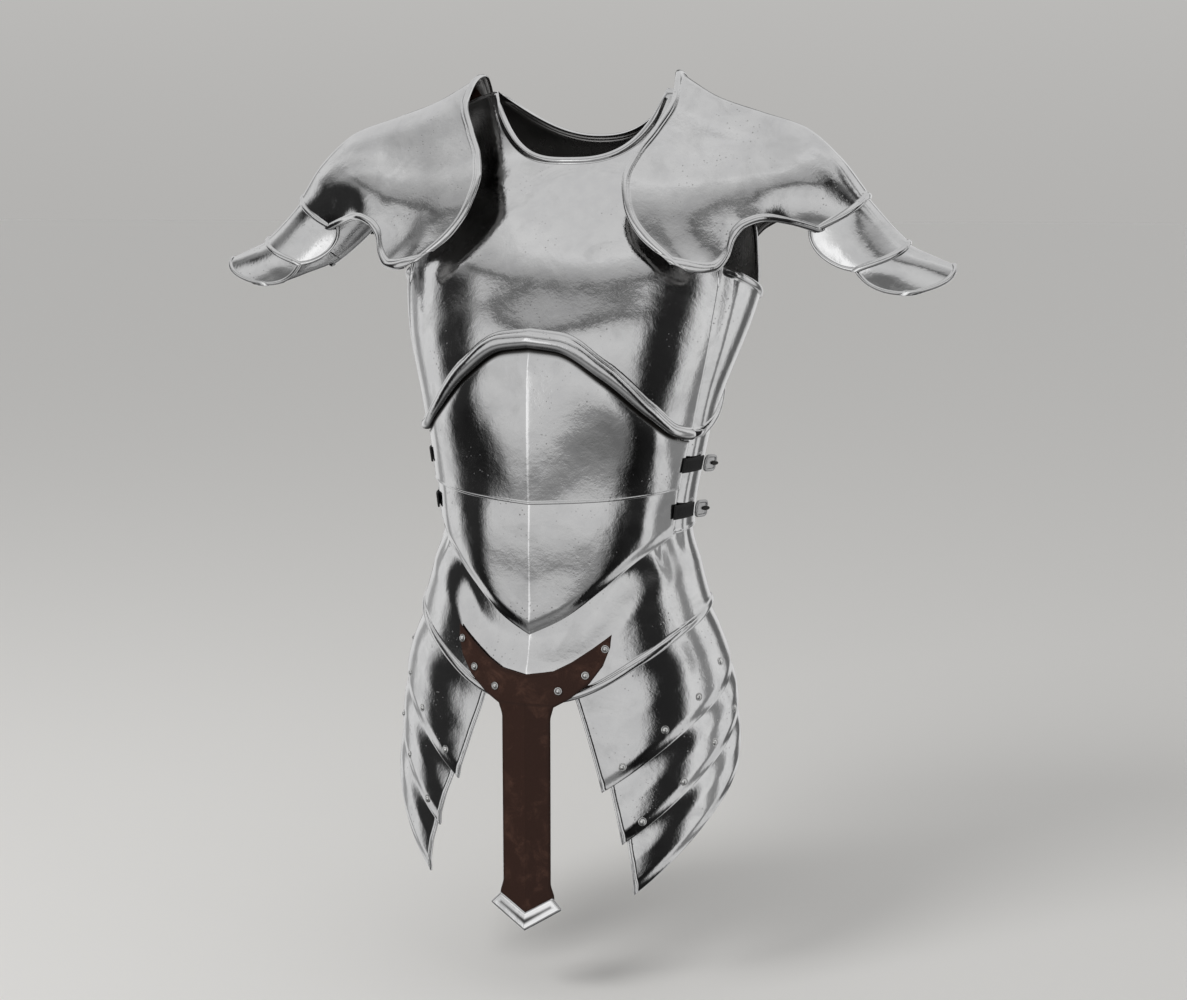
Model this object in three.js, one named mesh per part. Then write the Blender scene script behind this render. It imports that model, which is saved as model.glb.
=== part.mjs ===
// Plate cuirass with pauldrons, fauld and tassets.  Millimetres, +Z up, front faces -Y, +X is the
// wearer's left.  The origin is the middle of the shoulder line, where the harness rests on its wearer.
import * as THREE from "three";

const { degToRad, radToDeg, smoothstep, clamp, lerp } = THREE.MathUtils;

// Driving dimensions
const PLATE = 1.6; // steel plate
const LEATHER = 3.0; // yoke and hanging strap
const STRAP = 2.4; // side straps
const LAYER = 2.4; // step between plates that overlap
const CLEAR = 0.4; // air between pieces that touch
const LAP = LAYER + 0.5; // step at the seams, where three plates meet
const TUCK = { belly: 14, back: 12, fauld: 14, lame: 16 }; // upper margin hidden under the plate above
const FLARE = 60; // height over which the fauld comes out from under the waist
const FAULD_LIFT = 0.8; // fauld hem outside the skin

// Rolled edges: width, height and the rows across the roll
const RIB = { width: 20, height: 10, across: [0, 0.14, 0.5, 0.86, 1] }; // lower edge of the breast
const BACK_RIB = { width: 9, height: 4, across: [0, 0.22, 0.78, 1] }; // lower edge of the upper back
const NECK_ROLL = { width: 8, height: 4, across: [0, 0.22, 0.78, 1] }; // neck and armholes
const RIB_TAPER = 0.6; // share of the breast roll left at the sides

const SIDE_SEAM = 70; // breast meets back, degrees round from the front
const SEAM_SWING = 10; // degrees the seam moves forward below the armhole
const NECK_SIDE = 30.5; // neck corner
const SHOULDER_END = 48; // outer end of the shoulder seam
const HIP_SEAM = 100; // fauld meets culet
const TASSET_SIDE = 109;
const TASSET_REAR = 126;
const NECK_HALF = 104; // half width of the neck opening
const NECK = { front: { base: -69, power: 3 }, back: { base: -40, power: 2.2 } }; // lowest point, curve
const SHOULDER_TOP = 8;
const KEEL_REACH = 0.72; // share of the half width over which the middle ridge fades

// Torso and skirt sections, read at each height
const BODY = [
  { z: 8, mid: 0, wide: 202, front: 1.1, back: 1.1, keel: 0 },
  { z: 6.5, mid: 1, wide: 202, front: 6, back: 7, keel: 0 },
  { z: 0, mid: 5, wide: 204, front: 13, back: 18, keel: 0 },
  { z: -40, mid: 14, wide: 207, front: 32, back: 62, keel: 0 },
  { z: -69, mid: 20, wide: 209, front: 52, back: 73, keel: 0 },
  { z: -110, mid: 20, wide: 210, front: 101, back: 88, keel: 0 },
  { z: -150, mid: 18, wide: 212, front: 133, back: 98, keel: 0 },
  { z: -200, mid: 9, wide: 212, front: 155, back: 109, keel: 0 },
  { z: -250, mid: -10, wide: 203, front: 154, back: 119, keel: 2 },
  { z: -290, mid: -28, wide: 191, front: 140, back: 116, keel: 9 },
  { z: -340, mid: -42, wide: 175, front: 126, back: 112, keel: 10 },
  { z: -400, mid: -49, wide: 163.5, front: 119, back: 107, keel: 11 },
  { z: -450, mid: -53, wide: 155, front: 115, back: 102, keel: 12 },
  { z: -490, mid: -49, wide: 152, front: 119, back: 99, keel: 13 },
  { z: -530, mid: -48, wide: 159, front: 118, back: 101, keel: 14 },
  { z: -560, mid: -48, wide: 168, front: 119, back: 104, keel: 13 },
  { z: -600, mid: -44, wide: 180, front: 128, back: 109, keel: 10 },
  { z: -640, mid: -41, wide: 194, front: 136, back: 113, keel: 8.5 },
  { z: -680, mid: -41, wide: 200, front: 139, back: 117, keel: 7 },
  { z: -720, mid: -42, wide: 203, front: 143, back: 119, keel: 3 },
  { z: -760, mid: -44, wide: 205, front: 149, back: 121, keel: 0 },
  { z: -800, mid: -45, wide: 206, front: 156, back: 122, keel: 0 },
  { z: -890, mid: -45, wide: 206, front: 164, back: 124, keel: 0 },
];

// How far the shoulder line falls below the neck corner
const SHOULDER_FALL = [
  { x: 0, fall: 0 },
  { x: 104, fall: 0 },
  { x: 130, fall: 8 },
  { x: 152, fall: 19 },
  { x: 210, fall: 58 },
];

// Edges of the plates: height against the angle round from the front
const BREAST_ARMHOLE = [
  { turn: 48, z: -11 },
  { turn: 54, z: -55 },
  { turn: 62, z: -122 },
  { turn: 70, z: -184 },
];
const BACK_ARMHOLE = [
  { turn: 66, z: -178 },
  { turn: 70, z: -184 },
  { turn: 92, z: -206 },
  { turn: 106, z: -217 },
  { turn: 113, z: -219 },
  { turn: 117, z: -195 },
  { turn: 121, z: -145 },
  { turn: 126, z: -70 },
  { turn: 132, z: -11 },
];
const BREAST_HEM = [
  { turn: 0, z: -274 },
  { turn: 10, z: -278 },
  { turn: 25, z: -306 },
  { turn: 45, z: -350 },
  { turn: 60, z: -372 },
  { turn: 72, z: -376 },
  { turn: 90, z: -362 },
  { turn: 112, z: -330 },
  { turn: 150, z: -285 },
  { turn: 180, z: -274 },
];
const BELLY_HEM = [
  { turn: 0, z: -443 },
  { turn: 30, z: -440 },
  { turn: 75, z: -430 },
];
const WAIST_HEM = [
  { turn: 0, z: -587 },
  { turn: 12, z: -570 },
  { turn: 30, z: -536 },
  { turn: 50, z: -504 },
  { turn: 75, z: -482 },
  { turn: 110, z: -476 },
  { turn: 180, z: -500 },
];
const FAULD_HEM = [
  { turn: 0, z: -668 },
  { turn: 16, z: -656 },
  { turn: 40, z: -619 },
  { turn: 65, z: -588 },
  { turn: 100, z: -567 },
  { turn: 180, z: -584 },
];

// Tasset lames: inner edge at the top and at the tip, then the lower edge climbing to the rear
const TASSET = [
  { top: 14.5, tip: 24.7, tipZ: -757.6, midTurn: 62, midZ: -684, sideZ: -626, rearZ: -613 },
  { top: 26.3, tip: 32, tipZ: -814.7, midTurn: 68, midZ: -738, sideZ: -676, rearZ: -662 },
  { top: 33.2, tip: 36.5, tipZ: -871.4, midTurn: 74, midZ: -783, sideZ: -726, rearZ: -711 },
];
const TASSET_RIVET = { radius: 4.6, height: 2.8 };
const TASSET_RIVETS = [
  { x: 105, z: -730 },
  { x: 145, z: -692 },
  { x: 174, z: -660 },
  { x: 187, z: -628 },
  { x: 128, z: -790 },
  { x: 165, z: -751 },
  { x: 189, z: -714 },
  { x: 200, z: -685 },
];

// Leather yoke: inner and outer edges over the half width, then its rivets
const YOKE = [
  { x: 0, upper: -631, lower: -664 },
  { x: 31, upper: -626, lower: -664 },
  { x: 50, upper: -616, lower: -653 },
  { x: 70, upper: -602, lower: -636 },
  { x: 83, upper: -592, lower: -617 },
  { x: 89, upper: -587, lower: -598 },
];
const YOKE_RIVET = { radius: 4.2, height: 2.8 };
const YOKE_RIVETS = [
  { x: 84, z: -600 },
  { x: 65, z: -628.5 },
  { x: 37, z: -646 },
];
const TONGUE = { half: 27.1, flare: 31, top: -664.5, edgeY: -187.2, ridge: 5, end: -902, rise: 18 };
const TIP = { half: 39, upper: 30, depth: 16, rise: 25, thick: 5, stand: 1, ridge: 1.6 };

// Pauldron cap: its crest and its edges, front and rear
const CAP_CREST = [
  { along: 0, x: 115, y: -6, z: 26.5 },
  { along: 0.24, x: 166, y: -20, z: -3 },
  { along: 0.46, x: 216, y: -25, z: -20 },
  { along: 0.68, x: 264, y: -30, z: -36 },
  { along: 0.86, x: 306, y: -34, z: -70 },
  { along: 1, x: 338, y: -31, z: -111 },
];
const CAP_INNER = [
  { along: 0, x: 115, y: -6, z: 26.5 },
  { along: 0.03, x: 116.5, y: -15, z: 25.3 },
  { along: 0.07, x: 119, y: -27, z: 18 },
  { along: 0.13, x: 121, y: -43, z: -2 },
  { along: 0.28, x: 107, y: -64, z: -37 },
  { along: 0.43, x: 91, y: -84, z: -65 },
  { along: 0.56, x: 83, y: -104, z: -92 },
  { along: 0.7, x: 89, y: -118, z: -122 },
  { along: 0.84, x: 106, y: -126, z: -151 },
  { along: 1, x: 146, y: -132, z: -183 },
];
const CAP_FRONT = [
  { along: 0, x: 146, y: -132, z: -183 },
  { along: 0.16, x: 174, y: -129, z: -192 },
  { along: 0.28, x: 194, y: -120, z: -190 },
  { along: 0.38, x: 205, y: -112, z: -176 },
  { along: 0.47, x: 210, y: -107, z: -158 },
  { along: 0.56, x: 221, y: -103, z: -144 },
  { along: 0.68, x: 240, y: -95, z: -138 },
  { along: 0.84, x: 263, y: -78, z: -142 },
  { along: 1, x: 289, y: -63, z: -150 },
];
const CAP_REAR_INNER = [
  { along: 0, x: 115, y: -6, z: 26.5 },
  { along: 0.03, x: 116, y: 4, z: 25.3 },
  { along: 0.07, x: 117.5, y: 16, z: 18 },
  { along: 0.14, x: 119, y: 34, z: -2 },
  { along: 0.32, x: 112, y: 78, z: -38 },
  { along: 0.55, x: 97, y: 106, z: -88 },
  { along: 0.8, x: 110, y: 120, z: -140 },
  { along: 1, x: 140, y: 122, z: -166 },
];
const CAP_REAR = [
  { along: 0, x: 140, y: 122, z: -166 },
  { along: 0.2, x: 166, y: 118, z: -166 },
  { along: 0.4, x: 194, y: 106, z: -146 },
  { along: 0.6, x: 226, y: 92, z: -134 },
  { along: 0.8, x: 256, y: 68, z: -139 },
  { along: 1, x: 282, y: 32, z: -155 },
];

// Upper arm rings under and beyond the cap
const ARM = [
  { at: 0, x: 301, y: -34, z: -64, tilt: 46, front: 40, rear: 68, drop: 66, bulge: 4 },
  { at: 1, x: 337, y: -31, z: -112, tilt: 53, front: 30, rear: 62, drop: 62, bulge: 6 },
  { at: 2, x: 385, y: -37, z: -161, tilt: 58, front: 26, rear: 58, drop: 55, bulge: 6 },
  { at: 3, x: 410, y: -38, z: -173, tilt: 55, front: 20, rear: 52, drop: 53, bulge: 8 },
  { at: 4, x: 435, y: -38, z: -184, tilt: 53, front: 15, rear: 46, drop: 53, bulge: 10 },
];
const LAMES = [
  { name: "upper", from: 0.78, to: 2, front: [90, 92], swell: 16, rear: [98, 100], out: [-1, 0.2] },
  { name: "lower", from: 1.72, to: 4, front: [92, 90], swell: 16, rear: [98, 90], out: [-2.8, -1.2] },
];

const SIDE_STRAPS = [
  { name: "upper", z: -405, tall: 14, from: 69, to: 87, seat: -LAYER },
  { name: "lower", z: -457, tall: 14, from: 68, to: 86, seat: -LAP },
];
const BUCKLE = { wide: 22, tall: 20, bar: 4, tongue: 4, thick: 3.6, stand: 2 };

// Shoulder pad: its seat by angle and height, its roof by place on the cap
const PAD = { turn: [37, 47], level: [5.5, -8], along: [0.07, 0.17], round: [-0.05, -0.17] };

// Looks
const LOOKS = {
  steel: { color: 0xb8bbc0, roughness: 0.24, metalness: 1 },
  rivet: { color: 0xc9ccd0, roughness: 0.3, metalness: 1 },
  buckle: { color: 0x9a9da1, roughness: 0.4, metalness: 1 },
  leather: { color: 0x3a241d, roughness: 0.7, metalness: 0 },
  black: { color: 0x121214, roughness: 0.6, metalness: 0 },
};

// Smooth monotone curve through a table column
function curve(table, key, value) {
  const rows = [...table].sort((a, b) => a[key] - b[key]);
  const x = rows.map((r) => r[key]);
  const y = rows.map((r) => r[value]);
  const d = x.slice(1).map((v, i) => (y[i + 1] - y[i]) / (v - x[i]));
  const m = x.map((_, i) => {
    if (i === 0) return d[0];
    if (i === x.length - 1) return d[i - 1];
    return d[i - 1] * d[i] <= 0 ? 0 : (2 * d[i - 1] * d[i]) / (d[i - 1] + d[i]);
  });
  return (v) => {
    const q = clamp(v, x[0], x[x.length - 1]);
    let i = 0;
    while (i < x.length - 2 && q > x[i + 1]) i++;
    const h = x[i + 1] - x[i];
    const s = (q - x[i]) / h;
    const a = 2 * s ** 3 - 3 * s ** 2 + 1;
    const b = s ** 3 - 2 * s ** 2 + s;
    const c = s ** 3 - s ** 2;
    return a * y[i] + b * h * m[i] + (1 - a) * y[i + 1] + c * h * m[i + 1];
  };
}

const columns = (table, key) =>
  Object.fromEntries(
    Object.keys(table[0])
      .filter((k) => k !== key && k !== "name")
      .map((k) => [k, curve(table, key, k)]),
  );

const body = columns(BODY, "z");
const shoulderFall = curve(SHOULDER_FALL, "x", "fall");
const arm = columns(ARM, "at");

const sin = (degrees) => Math.sin(degToRad(degrees));
const cos = (degrees) => Math.cos(degToRad(degrees));
const spread = (from, to, count) => Array.from({ length: count + 1 }, (_, i) => lerp(from, to, i / count));
const hem = (table) => {
  const f = curve(table, "turn", "z");
  return (turn) => f(Math.abs(turn) > 180 ? 360 - Math.abs(turn) : Math.abs(turn));
};
const breastHem = hem(BREAST_HEM);
const bellyHem = hem(BELLY_HEM);
const waistHem = hem(WAIST_HEM);
const fauldHem = hem(FAULD_HEM);
const breastArmhole = hem(BREAST_ARMHOLE);
const backArmhole = hem(BACK_ARMHOLE);

// The side seam swings forward below the armhole
function swing(column, z) {
  const fade = SEAM_SWING * smoothstep(z, -370, -200) * (1 - smoothstep(z, -150, -50));
  const t = Math.abs(column) > 180 ? 360 - Math.abs(column) : Math.abs(column);
  const moved = t < SIDE_SEAM ? t * (1 - fade / SIDE_SEAM) : t - (fade * (180 - t)) / (180 - SIDE_SEAM);
  return Math.abs(column) > 180 ? 360 - moved : Math.sign(column) * moved;
}

// Body skin at an angle round from the front and a height, moved outward by a layer
function skin(column, z, out = 0) {
  const turn = swing(column, z);
  const s = sin(turn);
  const c = cos(turn);
  const x = (body.wide(z) + out) * s;
  const fade = smoothstep(z, -200, -60);
  const level = Math.min(z + shoulderFall(Math.abs(x)) * fade, SHOULDER_TOP);
  const deep = c > 0 ? body.front(level) : body.back(level);
  const crease = c > 0 ? body.keel(z) * Math.max(0, 1 - Math.abs(s) / KEEL_REACH) ** 2 : 0;
  return new THREE.Vector3(x, body.mid(level) - (deep + out) * c - crease, z);
}

function skinNormal(turn, z) {
  const across = skin(turn + 1, z).sub(skin(turn - 1, z));
  const up = skin(turn, z + 1).sub(skin(turn, z - 1));
  return across.cross(up).normalize();
}

// Angle round the skin at which it reaches a given x
const turnAt = (x, z, out = 0) => radToDeg(Math.asin(clamp(x / (body.wide(z) + out), -1, 1)));

// Half-round roll: height above the plate at a distance from the edge
const rollHeight = (d, roll) =>
  d >= roll.width ? 0 : roll.height * Math.sqrt(Math.max(0, 1 - (2 * d / roll.width - 1) ** 2));
const rollSteps = (roll) => roll.across.map((k) => k * roll.width);

// Thin closed shell: a grid of outer points, an inner grid one thickness below, and a rim
function shell(grid, thick) {
  const nu = grid.length;
  const nv = grid[0].length;
  const at = (i, j) => grid[clamp(i, 0, nu - 1)][clamp(j, 0, nv - 1)];
  const below = grid.map((line, i) =>
    line.map((p, j) => {
      const du = at(i + 1, j).clone().sub(at(i - 1, j));
      const dv = at(i, j + 1).clone().sub(at(i, j - 1));
      return p.clone().addScaledVector(du.cross(dv).normalize(), -thick);
    }),
  );
  return between(grid, below);
}

// Closed solid between two matching grids
function between(above, below) {
  const nu = above.length;
  const nv = above[0].length;
  const points = [...above.flat(), ...below.flat()];
  const outer = (i, j) => i * nv + j;
  const inner = (i, j) => nu * nv + i * nv + j;
  const index = [];
  const quad = (a, b, c, d) => index.push(a, b, c, a, c, d);
  for (let i = 0; i < nu - 1; i++) {
    const first = i < (nu - 1) / 2; // both halves split their quads as mirror images
    for (let j = 0; j < nv - 1; j++) {
      const o = [outer(i, j), outer(i + 1, j), outer(i + 1, j + 1), outer(i, j + 1)];
      const n = [inner(i, j), inner(i, j + 1), inner(i + 1, j + 1), inner(i + 1, j)];
      if (first) {
        quad(o[1], o[2], o[3], o[0]);
        quad(n[1], n[2], n[3], n[0]);
      } else {
        quad(...o);
        quad(...n);
      }
    }
    quad(outer(i + 1, 0), outer(i, 0), inner(i, 0), inner(i + 1, 0));
    quad(outer(i, nv - 1), outer(i + 1, nv - 1), inner(i + 1, nv - 1), inner(i, nv - 1));
  }
  for (let j = 0; j < nv - 1; j++) {
    quad(outer(0, j), outer(0, j + 1), inner(0, j + 1), inner(0, j));
    quad(outer(nu - 1, j + 1), outer(nu - 1, j), inner(nu - 1, j), inner(nu - 1, j + 1));
  }
  return closed(points, index);
}

function closed(points, index) {
  const geometry = new THREE.BufferGeometry();
  geometry.setFromPoints(points);
  geometry.setIndex(index);
  geometry.computeVertexNormals();
  return geometry;
}

// Mirror a closed geometry to the other side of the wearer
function mirrored(geometry) {
  const g = geometry.clone().applyMatrix4(new THREE.Matrix4().makeScale(-1, 1, 1));
  const index = Array.from(g.index.array);
  for (let i = 0; i < index.length; i += 3) [index[i], index[i + 1]] = [index[i + 1], index[i]];
  g.setIndex(index);
  g.computeVertexNormals();
  return g;
}

const group = new THREE.Group();
group.name = "plate_cuirass";
function add(name, geometry, look) {
  const mesh = new THREE.Mesh(geometry, new THREE.MeshStandardMaterial(LOOKS[look]));
  mesh.name = name;
  group.add(mesh);
}
function addPair(name, geometry, look) {
  add(`${name}_left`, geometry, look);
  add(`${name}_right`, mirrored(geometry), look);
}

// Plate on the skin between two edges; each column lists heights, layers and raised rolls
function plate(turns, column) {
  return shell(
    turns.map((turn) =>
      column(turn).map(({ z, out = 0, raise = 0 }) =>
        raise ? skin(turn, z, out).addScaledVector(skinNormal(turn, z), raise) : skin(turn, z, out),
      ),
    ),
    PLATE,
  );
}

const slopeStretch = (edge, turn) => {
  const run = Math.abs(skin(turn + 0.5, edge(turn)).x - skin(turn - 0.5, edge(turn)).x);
  return Math.min(2.4, Math.hypot(1, (edge(turn + 0.5) - edge(turn - 0.5)) / Math.max(run, 0.5)));
};

// Rows up a column: roll on the lower edge, plain wall, roll on the upper edge
function rolledColumn(turn, low, high, lowRoll, highRoll, lowScale, highScale, steps, layer) {
  const stretch = Math.min(slopeStretch(low, turn), 1.3);
  const grow = slopeStretch(high, turn);
  const rows = rollSteps(lowRoll).map((d) => ({
    z: low(turn) + d * stretch,
    out: layer(turn),
    raise: lowScale(turn) * rollHeight(d, lowRoll),
  }));
  const foot = low(turn) + lowRoll.width * stretch;
  const head = high(turn) - highRoll.width * grow;
  for (const z of spread(foot, head, steps).slice(1, -1)) rows.push({ z, out: layer(turn) });
  for (const d of rollSteps(highRoll).reverse()) {
    const flat = smoothstep(high(turn) - d * grow, -200, -60);
    rows.push({
      z: high(turn) - d * grow,
      out: layer(turn) * (1 - flat),
      raise: highScale(turn) * rollHeight(d, highRoll),
    });
  }
  return rows;
}

// Breastplate: neck edge, shoulder seams, armholes, and the arched roll below
const neckRise = (turn, { base, power }) => {
  const x = Math.min(Math.abs(skin(turn, base).x), NECK_HALF) / NECK_HALF;
  return base + (SHOULDER_TOP - base) * x ** power;
};
const shoulderSeam = (turn) => SHOULDER_TOP - shoulderFall(body.wide(0) * sin(turn));
const breastTop = (turn) => {
  const t = Math.abs(turn);
  if (t < NECK_SIDE) return neckRise(t, NECK.front);
  return t < SHOULDER_END ? shoulderSeam(t) : breastArmhole(t);
};
const rollShare = (t) => (t < NECK_SIDE ? 1 - smoothstep(t, 28, 30.5) : 0.7 * smoothstep(t, 51, 58));
const rib = (turn) => {
  const share = lerp(1, RIB_TAPER, smoothstep(Math.abs(turn), 15, SIDE_SEAM));
  return { ...RIB, width: RIB.width * share, height: RIB.height * share };
};
const BREAST_TURNS = [0, 6, 12, 18, 23, 27, 30.5, 39, 48, 54, 62, 70];
const bothSides = (turns) => [...turns.slice(1).reverse().map((t) => -t), ...turns];
add(
  "breastplate",
  plate(bothSides(BREAST_TURNS), (turn) =>
    rolledColumn(
      turn, breastHem, breastTop, rib(turn), NECK_ROLL, () => 1,
      (t) => rollShare(Math.abs(t)), 8, () => 0,
    ),
  ),
  "steel",
);

// Upper back: the side margin tucks under the breastplate
const backTop = (turn) => {
  const t = Math.min(turn, 360 - turn);
  if (180 - t < NECK_SIDE) return neckRise(180 - t, NECK.back);
  return 180 - t < SHOULDER_END ? shoulderSeam(180 - t) : backArmhole(t);
};
const BACK_TURNS = [66, 71, 79, 89, 99, 107, 113, 117, 121, 126, 132, 141, 149.5, 153, 159, 169, 180];
const pastTuck = (turn) => smoothstep(Math.min(turn, 360 - turn), 71, 79);
const sideTuck = (turn) => -(LAYER + 2.3) * (1 - pastTuck(turn));
const wholeBack = (turns) => [...turns, ...turns.slice(0, -1).reverse().map((t) => 360 - t)];
add(
  "backplate_upper",
  plate(wholeBack(BACK_TURNS), (turn) =>
    rolledColumn(
      turn, breastHem, backTop, BACK_RIB, NECK_ROLL, pastTuck,
      (t) => pastTuck(t) * rollShare(180 - Math.min(t, 360 - t)), 6, sideTuck,
    ),
  ),
  "steel",
);

// Belly plates and lower back, each tucked under the plate above it
const FRONT_TURNS = bothSides([0, 6, 12, 18, 24, 31, 38, 45, 52, 58, 64, 70]);
const bellyTuck = (turn) => lerp(TUCK.belly, -2, smoothstep(Math.abs(turn), 60, 65));
const rows = (low, high, out, count) => spread(low, high, count).map((z) => ({ z, out }));
add(
  "belly_plate_upper",
  plate(FRONT_TURNS, (t) => rows(bellyHem(t), breastHem(t) + bellyTuck(t), -LAYER, 5)),
  "steel",
);
add(
  "belly_plate_lower",
  plate(FRONT_TURNS, (t) => rows(waistHem(t), bellyHem(t) + TUCK.belly, -2 * LAYER, 5)),
  "steel",
);
const LOWER_BACK_TURNS = wholeBack([66, 71, 78, 87, 96, 105, 114, 123, 132, 141, 150, 160, 170, 180]);
const UNDER_SEAM = -3 * LAYER - 0.2; // the lower back's margin, under both belly plates
const lowerBackOut = (turn) => lerp(UNDER_SEAM, -LAP, pastTuck(turn));
add(
  "backplate_lower",
  plate(LOWER_BACK_TURNS, (t) => rows(waistHem(t), breastHem(t) + TUCK.back, lowerBackOut(t), 4)),
  "steel",
);

// Fauld and culet: hidden upper margin, then the flare over the hips, which is level across the middle
// so that the ridge stays sharp
const fauldRows = (turn) => {
  const low = fauldHem(turn);
  const high = waistHem(turn) + TUCK.fauld;
  const t = Math.min(Math.abs(turn), 360 - Math.abs(turn));
  const under = waistHem(t * smoothstep(t, 2, 40));
  const underBelly = lerp(-2 * LAYER, UNDER_SEAM, smoothstep(t, 56, 63));
  const deep = lerp(underBelly, -LAP, smoothstep(t, 74, 84)) - PLATE - 2 * CLEAR;
  return [0, 0.35, 0.62, 0.85, 1].map((k) => {
    const z = lerp(low, high, k);
    return { z, out: lerp(FAULD_LIFT, deep, smoothstep(z, under + TUCK.fauld - FLARE, under)) };
  });
};
const FAULD_TURNS = [0, 6, 12, 18, 24, 31, 38, 45, 52, 58, 64, 70, 80, 90, HIP_SEAM - 0.2];
const CULET_TURNS = [HIP_SEAM + 0.2, 107, 114, 123, 132, 141, 150, 160, 170, 180];
add("fauld", plate(bothSides(FAULD_TURNS), fauldRows), "steel");
add("culet", plate(wholeBack(CULET_TURNS), fauldRows), "steel");

// Tasset lames: inner edge, climbing lower edge, each top tucked under the piece above
const lameHem = (lame) =>
  hem([
    { turn: lame.tip, z: lame.tipZ },
    { turn: lame.midTurn, z: lame.midZ },
    { turn: TASSET_SIDE, z: lame.sideZ },
    { turn: TASSET_REAR, z: lame.rearZ },
  ]);
const lameHems = TASSET.map(lameHem);
const lameTop = (i, turn) => (i ? lameHems[i - 1](turn) : fauldHem(turn)) + TUCK.lame;
const lameOut = (k) => -LAP * smoothstep(k, 0.45, 0.8);
function lameSpot(i, share, k) {
  const lame = TASSET[i];
  const low = lerp(lame.tip, TASSET_REAR, share);
  const high = lerp(lame.top, TASSET_REAR, share);
  const turn = lerp(low, high, k);
  return { turn, z: lerp(lameHems[i](low), lameTop(i, high), k), out: lameOut(k) };
}
TASSET.forEach((_, i) => {
  const grid = spread(0, 1, 13).map((share) =>
    [0, 0.25, 0.5, 0.8, 1].map((k) => {
      const { turn, z, out } = lameSpot(i, share, k);
      return skin(turn, z, out);
    }),
  );
  addPair(`tasset_lame_${i + 1}`, shell(grid, PLATE), "steel");
});

// Round-headed rivet standing on a surface point
function rivet(point, normal, { radius, height }) {
  const profile = [[0, 0], [radius, 0], [radius * 0.8, height * 0.65], [0, height]];
  const head = new THREE.LatheGeometry(profile.map(([r, h]) => new THREE.Vector2(r, h)), 7);
  head.applyQuaternion(new THREE.Quaternion().setFromUnitVectors(new THREE.Vector3(0, 1, 0), normal));
  return head.translate(...point.clone().addScaledVector(normal, CLEAR).toArray());
}
TASSET_RIVETS.forEach(({ x, z }, n) => {
  const turn = turnAt(x, z);
  addPair(`tasset_rivet_${n + 1}`, rivet(skin(turn, z), skinNormal(turn, z), TASSET_RIVET), "rivet");
});

// Leather yoke on the front of the fauld, with its rivets
const yokeUpper = curve(YOKE, "x", "upper");
const yokeLower = curve(YOKE, "x", "lower");
const yokeOut = FAULD_LIFT + LEATHER + 2 * CLEAR;
const onFauld = (x, z, out) => skin(turnAt(x, z, out), z, out);
const YOKE_X = [-89, -83, -70, -50, -31, -16, 0, 16, 31, 50, 70, 83, 89];
add(
  "leather_yoke",
  shell(
    YOKE_X.map((x) =>
      spread(yokeLower(Math.abs(x)), yokeUpper(Math.abs(x)), 3).map((z) => onFauld(x, z, yokeOut)),
    ),
    LEATHER,
  ),
  "leather",
);
YOKE_RIVETS.forEach(({ x, z }, n) => {
  const normal = skinNormal(turnAt(x, z), z);
  addPair(`yoke_rivet_${n + 1}`, rivet(onFauld(x, z, yokeOut), normal, YOKE_RIVET), "rivet");
});

// Hanging strap, folded along its middle, and its steel end
const tongueY = (x) => TONGUE.edgeY - TONGUE.ridge * (1 - Math.abs(x) / TONGUE.half);
const tongueEnd = (share) => TONGUE.end + TONGUE.rise * Math.abs(share);
const tongueHalf = (k) => lerp(TONGUE.half, TONGUE.flare, smoothstep(Math.abs(k - 0.5), 0.42, 0.5));
add(
  "leather_strap",
  shell(
    spread(-1, 1, 4).map((share) =>
      [0, 0.03, 0.08, 0.3, 0.6, 0.92, 0.97, 1].map((k) => {
        const x = share * tongueHalf(k);
        return new THREE.Vector3(x, tongueY(x), lerp(tongueEnd(share), TONGUE.top, k));
      }),
    ),
    LEATHER,
  ),
  "leather",
);
add(
  "strap_tip",
  shell(
    spread(-1, 1, 4).map((share) =>
      [1, 0.5, 0].map((k) => {
        const x = share * lerp(TIP.upper, TIP.half, k);
        const z = TONGUE.end - CLEAR - k * TIP.depth + lerp(TONGUE.rise, TIP.rise, k) * Math.abs(share);
        return new THREE.Vector3(x, tongueY(x * 0.8) - TIP.stand - (k === 0.5 ? TIP.ridge : 0), z);
      }),
    ),
    TIP.thick,
  ),
  "steel",
);

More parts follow.
